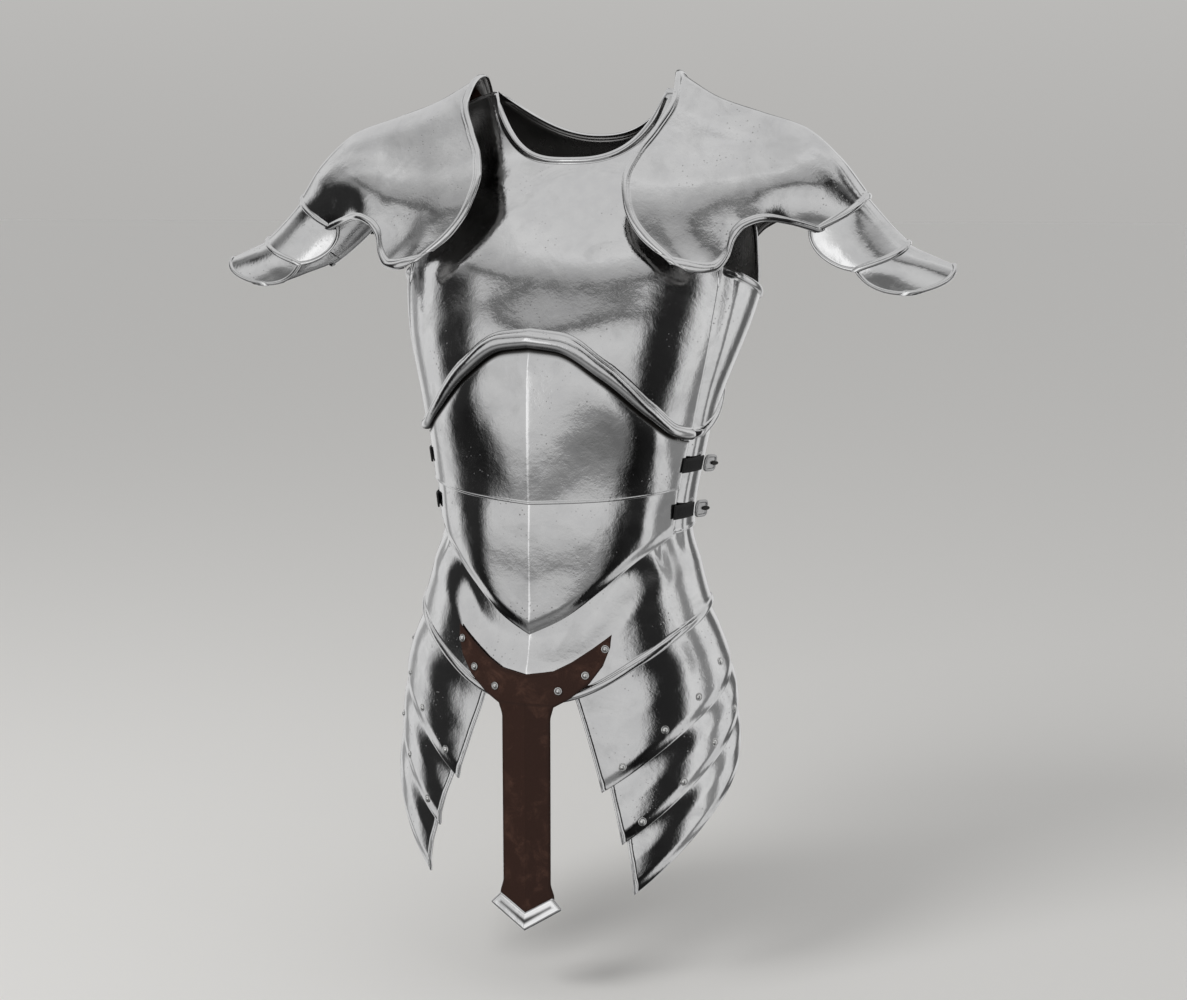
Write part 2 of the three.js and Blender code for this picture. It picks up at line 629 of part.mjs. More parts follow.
// Side straps and their buckles
function sideStrap({ z, tall, from, to, seat }) {
  const out = seat + CLEAR + STRAP;
  return shell(
    spread(from, to, 5).map((turn) => spread(z - tall / 2, z + tall / 2, 1).map((h) => skin(turn, h, out))),
    STRAP,
  );
}
function buckle({ z, to, seat }) {
  const half = { w: BUCKLE.wide / 2, h: BUCKLE.tall / 2 };
  const frame = new THREE.Shape();
  frame.moveTo(-half.w, -half.h).lineTo(half.w, -half.h).lineTo(half.w, half.h).lineTo(-half.w, half.h);
  frame.closePath();
  const inner = half.h - BUCKLE.bar;
  for (const side of [-1, 1]) {
    const hole = new THREE.Path();
    const near = (side * BUCKLE.tongue) / 2;
    hole.moveTo(BUCKLE.bar - half.w, near).lineTo(half.w - BUCKLE.bar, near);
    hole.lineTo(half.w - BUCKLE.bar, side * inner).lineTo(BUCKLE.bar - half.w, side * inner).closePath();
    frame.holes.push(hole);
  }
  const body = new THREE.ExtrudeGeometry(frame, { depth: BUCKLE.thick, bevelEnabled: false });
  const perDegree = skin(to + 6, z).distanceTo(skin(to + 5, z));
  const turn = to + (half.w + CLEAR) / perDegree;
  const out = skinNormal(turn, z);
  const up = new THREE.Vector3(0, 0, 1).addScaledVector(out, -out.z).normalize();
  const along = up.clone().cross(out);
  body.applyMatrix4(new THREE.Matrix4().makeBasis(along, up, out));
  return body.translate(...skin(turn, z, seat + BUCKLE.stand).toArray());
}
for (const strap of SIDE_STRAPS) {
  addPair(`side_strap_${strap.name}`, sideStrap(strap), "black");
}
for (const strap of SIDE_STRAPS) {
  const g = buckle(strap);
  g.setIndex(Array.from({ length: g.attributes.position.count }, (_, i) => i));
  addPair(`side_buckle_${strap.name}`, g, "buckle");
}

// Pauldrons
function armSkin(at, turn, out = 0) {
  const tilt = arm.tilt(at);
  const fall = (arm.drop(at) + out) * (1 - cos(turn)) - out;
  const deep = turn > 0 ? arm.front(at) : arm.rear(at);
  const swell = arm.bulge(at) * sin(2 * clamp(turn, 0, 90));
  return new THREE.Vector3(
    arm.x(at) - fall * sin(tilt) + swell * cos(tilt),
    arm.y(at) - (deep + out) * sin(turn),
    arm.z(at) - fall * cos(tilt) - swell * sin(tilt),
  );
}
const point = (table) => {
  const { x, y, z } = columns(table, "along");
  return (k) => new THREE.Vector3(x(k), y(k), z(k));
};
const CAP_END = 1.02;
const REAR_END = 99;
const capCrest = point(CAP_CREST);
const capFrontEdges = { inner: point(CAP_INNER), lower: point(CAP_FRONT), end: 90 };
const capRearEdges = { inner: point(CAP_REAR_INNER), lower: point(CAP_REAR), end: -REAR_END };

// Blend of the four edges of one half of the cap; level at the crest so both halves run smoothly on
function capPoint(s, w) {
  const { inner, lower, end } = w > 0 ? capFrontEdges : capRearEdges;
  const k = Math.abs(w);
  const h = k * k;
  const ring = (share) => armSkin(CAP_END, share * end, LAYER - 0.5);
  const p = new THREE.Vector3();
  const mix = (share, v) => p.addScaledVector(v, share);
  mix(1 - s, inner(k));
  mix(s, ring(k));
  mix(1 - h, capCrest(s));
  mix(h, lower(s));
  mix(-(1 - s) * (1 - h), inner(0));
  mix(-(1 - s) * h, lower(0));
  mix(-s * (1 - h), capCrest(1));
  mix(-s * h, lower(1));
  return p;
}
const CAP_S = [0, 0.025, 0.06, 0.14, 0.22, 0.3, 0.38, 0.46, 0.55, 0.64, 0.74, 0.84, 0.93, 1];
const CAP_W = [0, 0.05, 0.13, 0.26, 0.41, 0.57, 0.73, 0.88, 1];
const capGrid = CAP_S.map((s) => bothSides(CAP_W).map((w) => capPoint(s, w)));
addPair("pauldron_cap", shell(capGrid, PLATE), "steel");
for (const { name, from, to, front, swell, rear, out } of LAMES) {
  const bend = name === "upper" ? CAP_END : 2;
  const stations = [from, bend, lerp(bend, to, 0.3), lerp(bend, to, 0.65), to];
  const grid = stations.map((at) => {
    const k = (at - from) / (to - from);
    const ahead = lerp(front[0], front[1], k) + 4 * swell * k * (1 - k);
    const reach = (w) => w * (w > 0 ? ahead : lerp(rear[0], rear[1], k));
    return spread(-1, 1, 12).map((w) => armSkin(at, reach(w), lerp(out[0], out[1], k)));
  });
  addPair(`pauldron_lame_${name}`, shell(grid, PLATE), "steel");
}

// Leather pad that carries each cap on the shoulder
function pad() {
  const grid = (spot) => spread(0, 1, 2).map((u) => spread(0, 1, 2).map((v) => spot(u, v)));
  const seat = grid((u, v) => {
    const turn = lerp(...PAD.turn, u);
    const z = lerp(...PAD.level, v) - shoulderFall(body.wide(0) * sin(turn));
    return skin(180 - turn, z).addScaledVector(skinNormal(180 - turn, z), CLEAR + 0.2);
  });
  const roof = grid((u, v) => {
    const s = lerp(...PAD.along, u);
    const w = lerp(...PAD.round, v);
    const du = capPoint(s + 0.01, w).sub(capPoint(s - 0.01, w));
    const dv = capPoint(s, w - 0.01).sub(capPoint(s, w + 0.01));
    return capPoint(s, w).addScaledVector(du.cross(dv).normalize(), -PLATE + CLEAR);
  });
  return between(roof, seat);
}
addPair("shoulder_pad", pad(), "leather");

export default group;
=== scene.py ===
"""Polished plate cuirass with pauldrons, fauld and tassets, dressed over its solids.

Lengths are in millimetres until a mesh is made. +Z is up, the front faces -Y, +X is the wearer's left,
and the origin is the middle of the shoulder line.
"""

import bpy
import numpy as np
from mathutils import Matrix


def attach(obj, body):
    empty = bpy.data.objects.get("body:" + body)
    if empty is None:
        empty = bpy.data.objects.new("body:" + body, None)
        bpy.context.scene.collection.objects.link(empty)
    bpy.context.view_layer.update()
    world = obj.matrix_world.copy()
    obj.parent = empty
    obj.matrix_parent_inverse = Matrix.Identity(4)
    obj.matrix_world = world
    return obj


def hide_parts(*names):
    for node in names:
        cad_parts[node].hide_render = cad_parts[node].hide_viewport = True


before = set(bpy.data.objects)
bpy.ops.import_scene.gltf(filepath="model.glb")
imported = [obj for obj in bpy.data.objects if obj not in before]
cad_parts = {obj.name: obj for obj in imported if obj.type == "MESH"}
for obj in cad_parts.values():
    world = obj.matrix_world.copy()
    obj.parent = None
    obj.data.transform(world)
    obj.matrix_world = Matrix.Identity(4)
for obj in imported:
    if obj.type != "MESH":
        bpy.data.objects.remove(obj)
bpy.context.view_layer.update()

MM = 0.001
FAR_FROM_EDGE = 50.0

# Driving dimensions
PLATE = 1.6
LEATHER = 3.0
STRAP = 2.4
LAYER = 2.4
CLEAR = 0.4
LAP = LAYER + 0.5
UNDER_SEAM = -3 * LAYER - 0.2
SIDE_SEAM = 70
SEAM_SWING = 10
SEAM_RISE = (-370, -200)
SEAM_END = (-150, -50)
NECK_SIDE = 30.5
SHOULDER_END = 48
HIP_SEAM = 100
HIP_GAP = 0.2
TASSET_SIDE = 109
TASSET_REAR = 126
NECK_HALF = 104
NECK_FRONT = {"base": -69, "power": 3}
NECK_BACK = {"base": -40, "power": 2.2}
SHOULDER_TOP = 8
SHOULDER_BLEND = (-200, -60)
KEEL_REACH = 0.72
BACK_SIDE = 66
ARMHOLE_CORNER = 113

# Upper margins hidden under the plate above, and how the fauld comes out from under the waist
TUCK = {"belly": 14, "back": 12, "fauld": 14, "lame": 16}
BACK_TUCK = LAYER + 2.3
BACK_TUCK_TURNS = (71, 79)
LAME_TUCK_AT = (0.45, 0.8)
BELLY_TUCK = {"side": -2, "turns": (60, 65)}
FAULD = {"lift": 0.8, "flare": 60, "level": (2, 40), "under_belly": (56, 63), "under_back": (74, 84)}

# Softening of the section curves, in millimetres of height or width
SOFT_BODY = {"firm": 11, "slack": 20, "upper_chest": (-170, -110), "below_seam": (4, 34)}
SOFT_SEAM = 7
SOFT_SHOULDER = 15

# Rolled borders as (width, height), and a border that turns in
RIB = (20, 10)
RIB_TAPER = {"from": 15, "end": 0.6}
BACK_RIB = (9, 4)
NECK_ROLL = (8, 4)
NECK_ROLL_FADE = 28
ARMHOLE_ROLL = {"share": 0.7, "turns": (51, 58)}
CAP_ROLL = (7, 2.6)
LAME_ROLL = (4.5, 1.6)
HEM_ROLL = (2.4, 0.7)
SKIRT_ROLL = (8, 2.2)
ROLL_ROWS = 11
TURN_IN = {"wide": 15, "fall": 2.2, "swell": 1.2}

# Painted shade under the breast's rib and along the belly's top edge, by the height above the breast's hem
BREAST_PAINTED_SHADE = (1.5, 4.5)
BELLY_PAINTED_SHADE = (-6, -2)

# Rivets as (radius, height), and their profile in shares of both
TASSET_RIVET = (4.8, 3.0)
YOKE_RIVET = (4.4, 3.0)
RIVET_SIDES = 28
RIVET_FOOT = [(1, 0), (1, 0.18), (0.94, 0.3), (0.74, 0.3), (0.68, 0.2)]
RIVET_DOME = (0.66, 0.2)
# Painted shade on the foot rings: full at the foot and in the groove
RIVET_PAINTED_SHADE = [1, 0.4, 0, 0.4, 1]

# Middle ridge and belly, by the angle from the front
RIDGE_ROUND = 0.010
RIDGE_STOPS = (-1.2, -0.8, -0.4, 0, 0.4, 0.8, 1.2)
BELLY = {"bulge": 0.03, "swell": 1.6, "ridge": (3, 30), "sides": (48, 66)}

# Studio
CAMERA = {"place": (0.7361, -2.0960, -0.1197), "tilt": 81.2, "yaw": 19, "sensor": 36, "lens": 58.08}
KEY_LIGHT = {"place": (-1.6, -2.4, 1.9), "tilt": 48, "yaw": -34, "size": 1.6, "power": 60}
FLOOR_DROP = 1.0
FLOOR_REACH = 90.0
FLOOR_PAPER = (0.78, 0.77, 0.75, 1)
FLOOR_FAR = (0.452, 0.446, 0.436, 1)
BACKDROP = (0.62, 0.615, 0.60, 1)


def table(names, rows):
    """Columns of a short table by name."""
    return dict(zip(names.split(), np.array(rows, float).T))


def records(names, rows):
    """Rows of a short table, each by column name."""
    return [dict(zip(names.split(), row)) for row in rows]


# Torso and skirt sections, read at each height
BODY = table("z mid wide front back keel", [
    (8, 0, 202, 1.1, 1.1, 0),
    (6.5, 1, 202, 6, 7, 0),
    (0, 5, 204, 13, 18, 0),
    (-40, 14, 207, 32, 62, 0),
    (-69, 20, 209, 52, 73, 0),
    (-110, 20, 210, 101, 88, 0),
    (-150, 18, 212, 133, 98, 0),
    (-200, 9, 212, 155, 109, 0),
    (-250, -10, 203, 154, 119, 2),
    (-290, -28, 191, 140, 116, 9),
    (-340, -42, 175, 126, 112, 10),
    (-400, -49, 163.5, 119, 107, 11),
    (-450, -53, 155, 115, 102, 12),
    (-490, -49, 152, 119, 99, 13),
    (-530, -48, 159, 118, 101, 14),
    (-560, -48, 168, 119, 104, 13),
    (-600, -44, 180, 128, 109, 10),
    (-640, -41, 194, 136, 113, 8.5),
    (-680, -41, 200, 139, 117, 7),
    (-720, -42, 203, 143, 119, 3),
    (-760, -44, 205, 149, 121, 0),
    (-800, -45, 206, 156, 122, 0),
    (-890, -45, 206, 164, 124, 0),
])
SHOULDER_FALL = table("x fall", [(0, 0), (104, 0), (130, 8), (152, 19), (210, 58)])

# Edges of the plates: height against the angle round from the front
BREAST_ARMHOLE = table("turn z", [(48, -11), (54, -55), (62, -122), (70, -184)])
BACK_ARMHOLE = table("turn z", [
    (66, -178), (70, -184), (92, -206), (106, -217), (113, -219),
    (117, -195), (121, -145), (126, -70), (132, -11),
])
BREAST_HEM = table("turn z", [
    (0, -274), (10, -278), (25, -306), (45, -350), (60, -372),
    (72, -376), (90, -362), (112, -330), (150, -285), (180, -274),
])
BELLY_HEM = table("turn z", [(0, -443), (30, -440), (75, -430)])
WAIST_HEM = table("turn z", [
    (0, -587), (12, -570), (30, -536), (50, -504), (75, -482), (110, -476), (180, -500),
])
FAULD_HEM = table("turn z", [(0, -668), (16, -656), (40, -619), (65, -588), (100, -567), (180, -584)])

# Tasset lames: inner edge at the top and at the tip, then the lower edge climbing to the rear
TASSET = records("top tip tip_z mid_turn mid_z side_z rear_z", [
    (14.5, 24.7, -757.6, 62, -684, -626, -613),
    (26.3, 32, -814.7, 68, -738, -676, -662),
    (33.2, 36.5, -871.4, 74, -783, -726, -711),
])
TASSET_RIVETS = [
    (105, -730), (145, -692), (174, -660), (187, -628),
    (128, -790), (165, -751), (189, -714), (200, -685),
]

# Leather yoke: inner and outer edges over the half width, then its rivets
YOKE = table("x upper lower", [
    (0, -631, -664), (31, -626, -664), (50, -616, -653),
    (70, -602, -636), (83, -592, -617), (89, -587, -598),
])
YOKE_RIVETS = [(84, -600), (65, -628.5), (37, -646)]
TONGUE = {
    "half": 27.1, "flare": 31, "top": -664.5, "edge_y": -187.2, "ridge": 5,
    "end": -902, "rise": 18, "lap": 2.5, "bend": 8, "flare_at": (0.42, 0.5), "over": 0.5,
}
TIP = {"half": 39, "upper": 30, "depth": 16, "rise": 25, "thick": 5, "stand": 2, "flare": 2.3, "fit": 0.8}
# Painted shade across the tip's middle band, away from its edges
TIP_PAINTED_SHADE = {"share": 0.9, "from_edge": (3.2, 7.6)}

# Pauldron cap: its crest and its edges, front and rear
CAP_CREST = table("along x y z", [
    (0, 115, -6, 26.5), (0.24, 166, -20, -3), (0.46, 216, -25, -20),
    (0.68, 264, -30, -36), (0.86, 306, -34, -70), (1, 338, -31, -111),
])
CAP_INNER = table("along x y z", [
    (0, 115, -6, 26.5), (0.03, 116.5, -15, 25.3), (0.07, 119, -27, 18), (0.13, 121, -43, -2),
    (0.28, 107, -64, -37), (0.43, 91, -84, -65), (0.56, 83, -104, -92), (0.7, 89, -118, -122),
    (0.84, 106, -126, -151), (1, 146, -132, -183),
])
CAP_FRONT = table("along x y z", [
    (0, 146, -132, -183), (0.16, 174, -129, -192), (0.28, 194, -120, -190),
    (0.38, 205, -112, -176), (0.47, 210, -107, -158), (0.56, 221, -103, -144),
    (0.68, 240, -95, -138), (0.84, 263, -78, -142), (1, 289, -63, -150),
])
CAP_REAR_INNER = table("along x y z", [
    (0, 115, -6, 26.5), (0.03, 116, 4, 25.3), (0.07, 117.5, 16, 18), (0.14, 119, 34, -2),
    (0.32, 112, 78, -38), (0.55, 97, 106, -88), (0.8, 110, 120, -140), (1, 140, 122, -166),
])
CAP_REAR = table("along x y z", [
    (0, 140, 122, -166), (0.2, 166, 118, -166), (0.4, 194, 106, -146),
    (0.6, 226, 92, -134), (0.8, 256, 68, -139), (1, 282, 32, -155),
])
CAP_END = 1.02
CAP_OUT = LAYER - 0.5
CAP_FRONT_END = 90
CAP_REAR_END = 99

# Upper arm rings under and beyond the cap
ARM = table("at x y z tilt front rear drop bulge", [
    (0, 301, -34, -64, 46, 40, 68, 66, 4),
    (1, 337, -31, -112, 53, 30, 62, 62, 6),
    (2, 385, -37, -161, 58, 26, 58, 55, 6),
    (3, 410, -38, -173, 55, 20, 52, 53, 8),
    (4, 435, -38, -184, 53, 15, 46, 53, 10),
])
LAMES = records("name ends front swell rear out", [
    ("upper", (0.78, 2), (90, 92), 16, (98, 100), (-1, 0.2)),
    ("lower", (1.72, 4), (92, 90), 16, (98, 90), (-2.8, -1.2)),
])
SIDE_STRAPS = records("name z tall ends seat", [
    ("upper", -405, 14, (69, 87), -LAYER),
    ("lower", -457, 14, (68, 86), -LAP),
])
BUCKLE = {
    "wide": 22, "tall": 20, "bar": 1.9, "stand": 3.4, "lean": 24, "lap": 0.6, "square": 0.45,
    "plate": 0.6, "inside": 0.95,
}
BUCKLE_TONGUE = {"place": 0.75, "lift": 1.6, "half": 0.9, "bar": 0.75, "painted_shade_and_dark": 0.9}
PAD = {
    "turn": (37, 47), "level": (5.5, -8), "along": (0.07, 0.17), "round": (-0.05, -0.17),
    "gap": CLEAR + 0.2, "fill": 0.9,
}


# Curves and the body skin
def smoothstep(x, low, high):
    """Cubic ease from 0 at low to 1 at high."""
    t = np.clip((x - low) / (high - low), 0, 1)
    return t * t * (3 - 2 * t)


def lerp(a, b, t):
    return a + (b - a) * t


def sin_deg(angle):
    return np.sin(np.radians(angle))


def cos_deg(angle):
    return np.cos(np.radians(angle))


def curve(x, y):
    """Smooth curve through points: a cubic between neighbours, whose slope at a point is the harmonic
    mean of the chords beside it, or zero where they turn, held level past both ends."""
    order = np.argsort(x)
    x, y = x[order], y[order]
    chord = np.diff(y) / np.diff(x)
    before, after = chord[:-1], chord[1:]
    same_way = before * after > 0
    mean = 2 * before * after / np.where(same_way, before + after, 1)
    slope = np.concatenate([chord[:1], np.where(same_way, mean, 0), chord[-1:]])

    def at(v):
        v = np.clip(v, x[0], x[-1])
        i = np.clip(np.searchsorted(x, v) - 1, 0, len(x) - 2)
        step = x[i + 1] - x[i]
        s = (v - x[i]) / step
        left = 2 * s**3 - 3 * s**2 + 1
        pull = (s**3 - 2 * s**2 + s) * slope[i] + (s**3 - s**2) * slope[i + 1]
        return left * y[i] + (1 - left) * y[i + 1] + step * pull

    return at


def columns(rows, key):
    return {name: curve(rows[key], rows[name]) for name in rows if name != key}


def hem(rows):
    """Edge height against the angle round, the same on both sides."""
    edge = curve(rows["turn"], rows["z"])
    return lambda turn: edge(fold(turn))


def fold(turn):
    """Angle from the front, 0 to 180, on either side."""
    size = np.abs(turn)
    return np.where(size > 180, 360 - size, size)


def softened(at, low, high, reach, tail=60):
    """Running mean of a curve under a bell of the given reach, cut off at its tail."""
    place = np.arange(low - tail, high + tail + 1.0)
    bell = np.exp(-0.5 * (np.arange(-tail, tail + 1) / reach) ** 2)
    mean = np.convolve(at(place), bell / bell.sum(), mode="same")
    return lambda v: np.interp(v, place, mean)


def body_column(at):
    """Softened section column, more so over the upper chest, eased back to the plain one at the seam."""
    low, high = BODY["z"].min(), BODY["z"].max()
    firm, slack = (softened(at, low, high, SOFT_BODY[name]) for name in ("firm", "slack"))

    def mean(z):
        soft = lerp(firm(z), slack(z), smoothstep(z, *SOFT_BODY["upper_chest"]))
        return lerp(at(z), soft, smoothstep(-z, *SOFT_BODY["below_seam"]))

    return mean


body = {name: body_column(at) for name, at in columns(BODY, "z").items()}
arm = columns(ARM, "at")
fall_curve = curve(SHOULDER_FALL["x"], SHOULDER_FALL["fall"])
shoulder_fall, shoulder_slope = (
    softened(fall_curve, 0, SHOULDER_FALL["x"].max(), reach) for reach in (SOFT_SEAM, SOFT_SHOULDER))
breast_armhole, back_armhole = hem(BREAST_ARMHOLE), hem(BACK_ARMHOLE)
breast_hem, belly_hem = hem(BREAST_HEM), hem(BELLY_HEM)
waist_hem, fauld_hem = hem(WAIST_HEM), hem(FAULD_HEM)


def seam_fade(z):
    """Swing of the side seam: it eases in under the arm and out towards the shoulder."""
    return SEAM_SWING * smoothstep(z, *SEAM_RISE) * (1 - smoothstep(z, *SEAM_END))


def swing(column, z):
    """The side seam moves forward below the armhole, and the columns beside it share the move."""
    fade = seam_fade(z)
    t = fold(column)
    front = t * (1 - fade / SIDE_SEAM)
    rear = t - fade * (180 - t) / (180 - SIDE_SEAM)
    moved = np.where(t < SIDE_SEAM, front, rear)
    return np.where(np.abs(column) > 180, 360 - moved, np.sign(column) * moved)


def skin(column, z, out=0.0):
    """Body skin: at each height a front and a rear half ellipse about a middle depth. Near the top the
    sections follow the falling shoulder line, and in front a keel stands out at the middle."""
    column, z, out = np.broadcast_arrays(*(np.asarray(v, float) for v in (column, z, out)))
    turn = swing(column, z)
    s, c = sin_deg(turn), cos_deg(turn)
    x = (body["wide"](z) + out) * s
    fall = shoulder_slope(np.abs(x)) * smoothstep(z, *SHOULDER_BLEND)
    level = np.minimum(z + fall, SHOULDER_TOP)
    deep = np.where(c > 0, body["front"](level), body["back"](level))
    side = np.sqrt(s * s + RIDGE_ROUND**2) - RIDGE_ROUND
    crease = body["keel"](z) * np.maximum(0, 1 - side / KEEL_REACH) ** 2 * (c > 0)
    return np.stack([x, body["mid"](level) - (deep + out) * c - crease, z], -1)


def skin_normal(turn, z):
    across = skin(turn + 1, z) - skin(turn - 1, z)
    up = skin(turn, z + 1) - skin(turn, z - 1)
    return unit(np.cross(across, up))


def turn_at(x, z, out=0.0):
    """Angle round the skin at which it reaches a given x."""
    return np.degrees(np.arcsin(np.clip(x / (body["wide"](z) + out), -1, 1)))


# Grids, rolled borders and closed walls
def unit(v):
    return v / np.maximum(np.linalg.norm(v, axis=-1, keepdims=True), 1e-9)


def border_share(surface, border, marks, width):
    """Share of the parameter that a roll takes at a border: its width over the surface's length per unit,
    measured square to the border, as a running mean of five so that it changes gently."""
    step = 1e-3
    at, inward = (0, step) if border in ("start", "low") else (1, 1 - step)
    held = lambda p: np.full_like(marks, p)
    place = lambda p: surface(held(p), marks) if border in ("start", "end") else surface(marks, held(p))
    edge, inside = place(at), place(inward)
    along = unit(np.gradient(edge, axis=0))
    square = np.linalg.norm(np.cross((inside - edge) / step, along), axis=-1)
    share = np.pad(width / np.maximum(square, 1), 2, mode="edge")
    return np.clip(np.convolve(share, np.ones(5) / 5, mode="valid"), 0, 0.3)


def roll_marks(marks, first, last):
    """Marks along one direction. Over a roll they are equal angles of a half circle; the rest share the
    length that is left. Gives how each mark moves with the rolls' shares, and the rolls' heights there."""
    angle = np.linspace(0, np.pi, ROLL_ROWS)
    across, rise = (1 - np.cos(angle)) / 2, np.sin(angle)
    plain = marks[bool(first):len(marks) - bool(last)]
    none = (np.zeros(0), np.zeros(0))
    head, head_rise = (across, rise) if first else none
    tail, tail_rise = (across, rise) if last else none
    zero, one = np.zeros_like, np.ones_like
    return [np.concatenate(row) for row in (
        (head, one(plain), one(tail)),
        (zero(head), plain, one(tail)),
        (zero(head), zero(plain), tail),
        (head_rise, zero(plain), zero(tail)),
        (zero(head), zero(plain), tail_rise),
    )]


def plate_grid(surface, along, across, start=None, end=None, low=None, high=None):
    """Grid of a plate with rolled borders. surface(u, v) is the plain plate over the unit square, along and
    across are marks in u and v. A border's roll is (width, height), plain numbers or functions of the
    border's marks, and stands out by a half circle's height. Gives the raised grid, the plain one's
    normals, and the distance from the nearest border."""
    value = lambda v, marks: v(marks) if callable(v) else np.full_like(marks, v)

    def one_way(own, base, marks, **rolls):
        """Parameter over the grid in one direction, and the heights of its two rolls."""
        low, middle, high, *rises = own
        first, last = (
            np.interp(base, marks, border_share(surface, border, marks, value(roll[0], marks)))
            if roll else np.zeros_like(base) for border, roll in rolls.items())
        place = low[:, None] * first + middle[:, None] * (1 - first - last) + high[:, None] * last
        lifts = [rise[:, None] * value(roll[1], base) for rise, roll in zip(rises, rolls.values()) if roll]
        return place, lifts

    u_marks, v_marks = roll_marks(along, start, end), roll_marks(across, low, high)
    u, u_lifts = one_way(u_marks, v_marks[1], across, start=start, end=end)
    v, v_lifts = one_way(v_marks, u_marks[1], along, low=low, high=high)
    plain = surface(u, v.T)
    normals = unit(np.cross(np.gradient(plain, axis=0), np.gradient(plain, axis=1)))
    lift = np.max([np.zeros(plain.shape[:2]), *u_lifts, *(rise.T for rise in v_lifts)], axis=0)
    return plain + normals * lift[..., None], normals, border_distance(plain)


def border_distance(points):
    """Length along the grid lines to the nearest of the four borders."""
    best = np.full(points.shape[:2], np.inf)
    for axis in (0, 1):
        step = np.linalg.norm(np.diff(points, axis=axis), axis=-1)
        run = np.cumsum(step, axis=axis)
        zero = np.zeros_like(np.take(run, [0], axis))
        ahead = np.concatenate([zero, run], axis)
        best = np.minimum(best, np.minimum(ahead, np.take(ahead, [-1], axis) - ahead))
    return best


def round_rim(middle, normals, half, edge):
    """Three more rows past each border close a wall: they step out along the surface by a quarter circle's
    sine while its thickness falls by the cosine."""
    angle = np.radians([30, 60, 90])
    fade = np.cos(angle)[:, None]
    more = lambda v: np.concatenate([v[:1]] * 3 + [v] + [v[-1:]] * 3)
    for axis in (0, 1):
        m, n, h, e = (np.moveaxis(v, axis, 0) for v in (middle, normals, half, edge))
        reach = (h.max() * np.sin(angle))[:, None, None]
        before = m[0] + unit(m[0] - m[1]) * reach[::-1]
        after = m[-1] + unit(m[-1] - m[-2]) * reach
        m = np.concatenate([before, m, after])
        h = np.concatenate([h[0] * fade[::-1], h, h[-1] * fade])
        middle, normals, half, edge = (np.moveaxis(v, 0, axis) for v in (m, more(n), h, more(e)))
    return middle, normals, half, edge


def wall(points, normals, edge, thick, inner_shade_share):
    """Closed thin wall: the grid, its copy one thickness below, joined along a rounded rim. Gives points,
    quads, and for each point its distance from the border, the share of painted inner shade that darkens it
    where it lies inside, and no black mark of painted shade and dark tone."""
    half = np.full(points.shape[:2], thick / 2)
    middle, n, half, edge = round_rim(points - normals * thick / 2, normals, half, edge)
    outer, inner = middle + n * half[..., None], middle - n * half[..., None]
    rows, cols = half.shape
    top = np.arange(rows * cols).reshape(rows, cols)
    under = top.copy()
    under[1:-1, 1:-1] = rows * cols + np.arange((rows - 2) * (cols - 2)).reshape(rows - 2, cols - 2)
    quads = np.concatenate([grid_quads(top), grid_quads(under)[:, ::-1]])
    verts = np.concatenate([outer.reshape(-1, 3), inner[1:-1, 1:-1].reshape(-1, 3)])
    distance = np.concatenate([edge.ravel(), edge[1:-1, 1:-1].ravel()])
    dark = np.where(np.arange(len(verts)) >= rows * cols, inner_shade_share, 0.0)
    return verts, quads, np.stack([distance, dark, np.zeros(len(verts))], -1)


def sheet(surface, along, across, thick=PLATE, inner_shade_share=1.0, **rolls):
    """Closed wall over a surface, with its rolled borders."""
    return wall(*plate_grid(surface, along, across, **rolls), thick, inner_shade_share)


def grid_quads(index):
    return np.stack([index[:-1, :-1], index[1:, :-1], index[1:, 1:], index[:-1, 1:]], -1).reshape(-1, 4)


def between(above, below):
    """Closed solid between two matching grids, with a flat rim."""
    count = above.shape[0] * above.shape[1]
    top = np.arange(count).reshape(above.shape[:2])
    low = top + count
    ring = np.concatenate([top[:-1, 0], top[-1, :-1], top[:0:-1, -1], top[0, :0:-1]])
    onward = np.roll(ring, -1)
    rim = np.stack([onward, ring, ring + count, onward + count], -1)
    quads = np.concatenate([grid_quads(top), grid_quads(low)[:, ::-1], rim])
    verts = np.concatenate([above.reshape(-1, 3), below.reshape(-1, 3)])
    return verts, quads, plain_marks(len(verts))


def plain_marks(count):
    """Marks of points that are far from any border, with no painted inner shade and no black mark of painted
    shade and dark tone.
    """
    return np.tile([FAR_FROM_EDGE, 0.0, 0.0], (count, 1))


def full_turn(count):
    return np.linspace(0, 2 * np.pi, count, endpoint=False)


def loop_tube(path, sides, radius, frame_up):
    """Round bar along a closed path: circles square to the path, carried along it."""
    ahead = unit(np.roll(path, -1, axis=0) - np.roll(path, 1, axis=0))
    side = unit(np.cross(ahead, frame_up))
    angle = full_turn(sides)
    ring = np.cos(angle)[:, None] * side[:, None, :] + np.sin(angle)[:, None] * np.asarray(frame_up)
    verts = (path[:, None, :] + radius * ring).reshape(-1, 3)
    index = np.arange(len(verts)).reshape(len(path), sides)
    index = np.pad(index, ((0, 1), (0, 1)), mode="wrap")
    return verts, grid_quads(index)[:, ::-1]


def revolved(profile, sides):
    """Solid of revolution about Z from (radius, height) points, the first and last on the axis."""
    radius, height = profile.T
    angle = full_turn(sides)
    rings = np.stack([
        radius[1:-1, None] * np.cos(angle), radius[1:-1, None] * np.sin(angle),
        np.repeat(height[1:-1, None], sides, 1),
    ], -1)
    verts = np.concatenate([rings.reshape(-1, 3), [[0, 0, height[0]], [0, 0, height[-1]]]])
    index = np.pad(np.arange(rings.shape[0] * sides).reshape(-1, sides), ((0, 0), (0, 1)), mode="wrap")
    first, last = len(verts) - 2, len(verts) - 1
    base = np.stack([np.full(sides, first), index[0, 1:], index[0, :-1]], -1)
    cap = np.stack([np.full(sides, last), index[-1, :-1], index[-1, 1:]], -1)
    return verts, [*grid_quads(index)[:, ::-1].tolist(), *base.tolist(), *cap.tolist()]


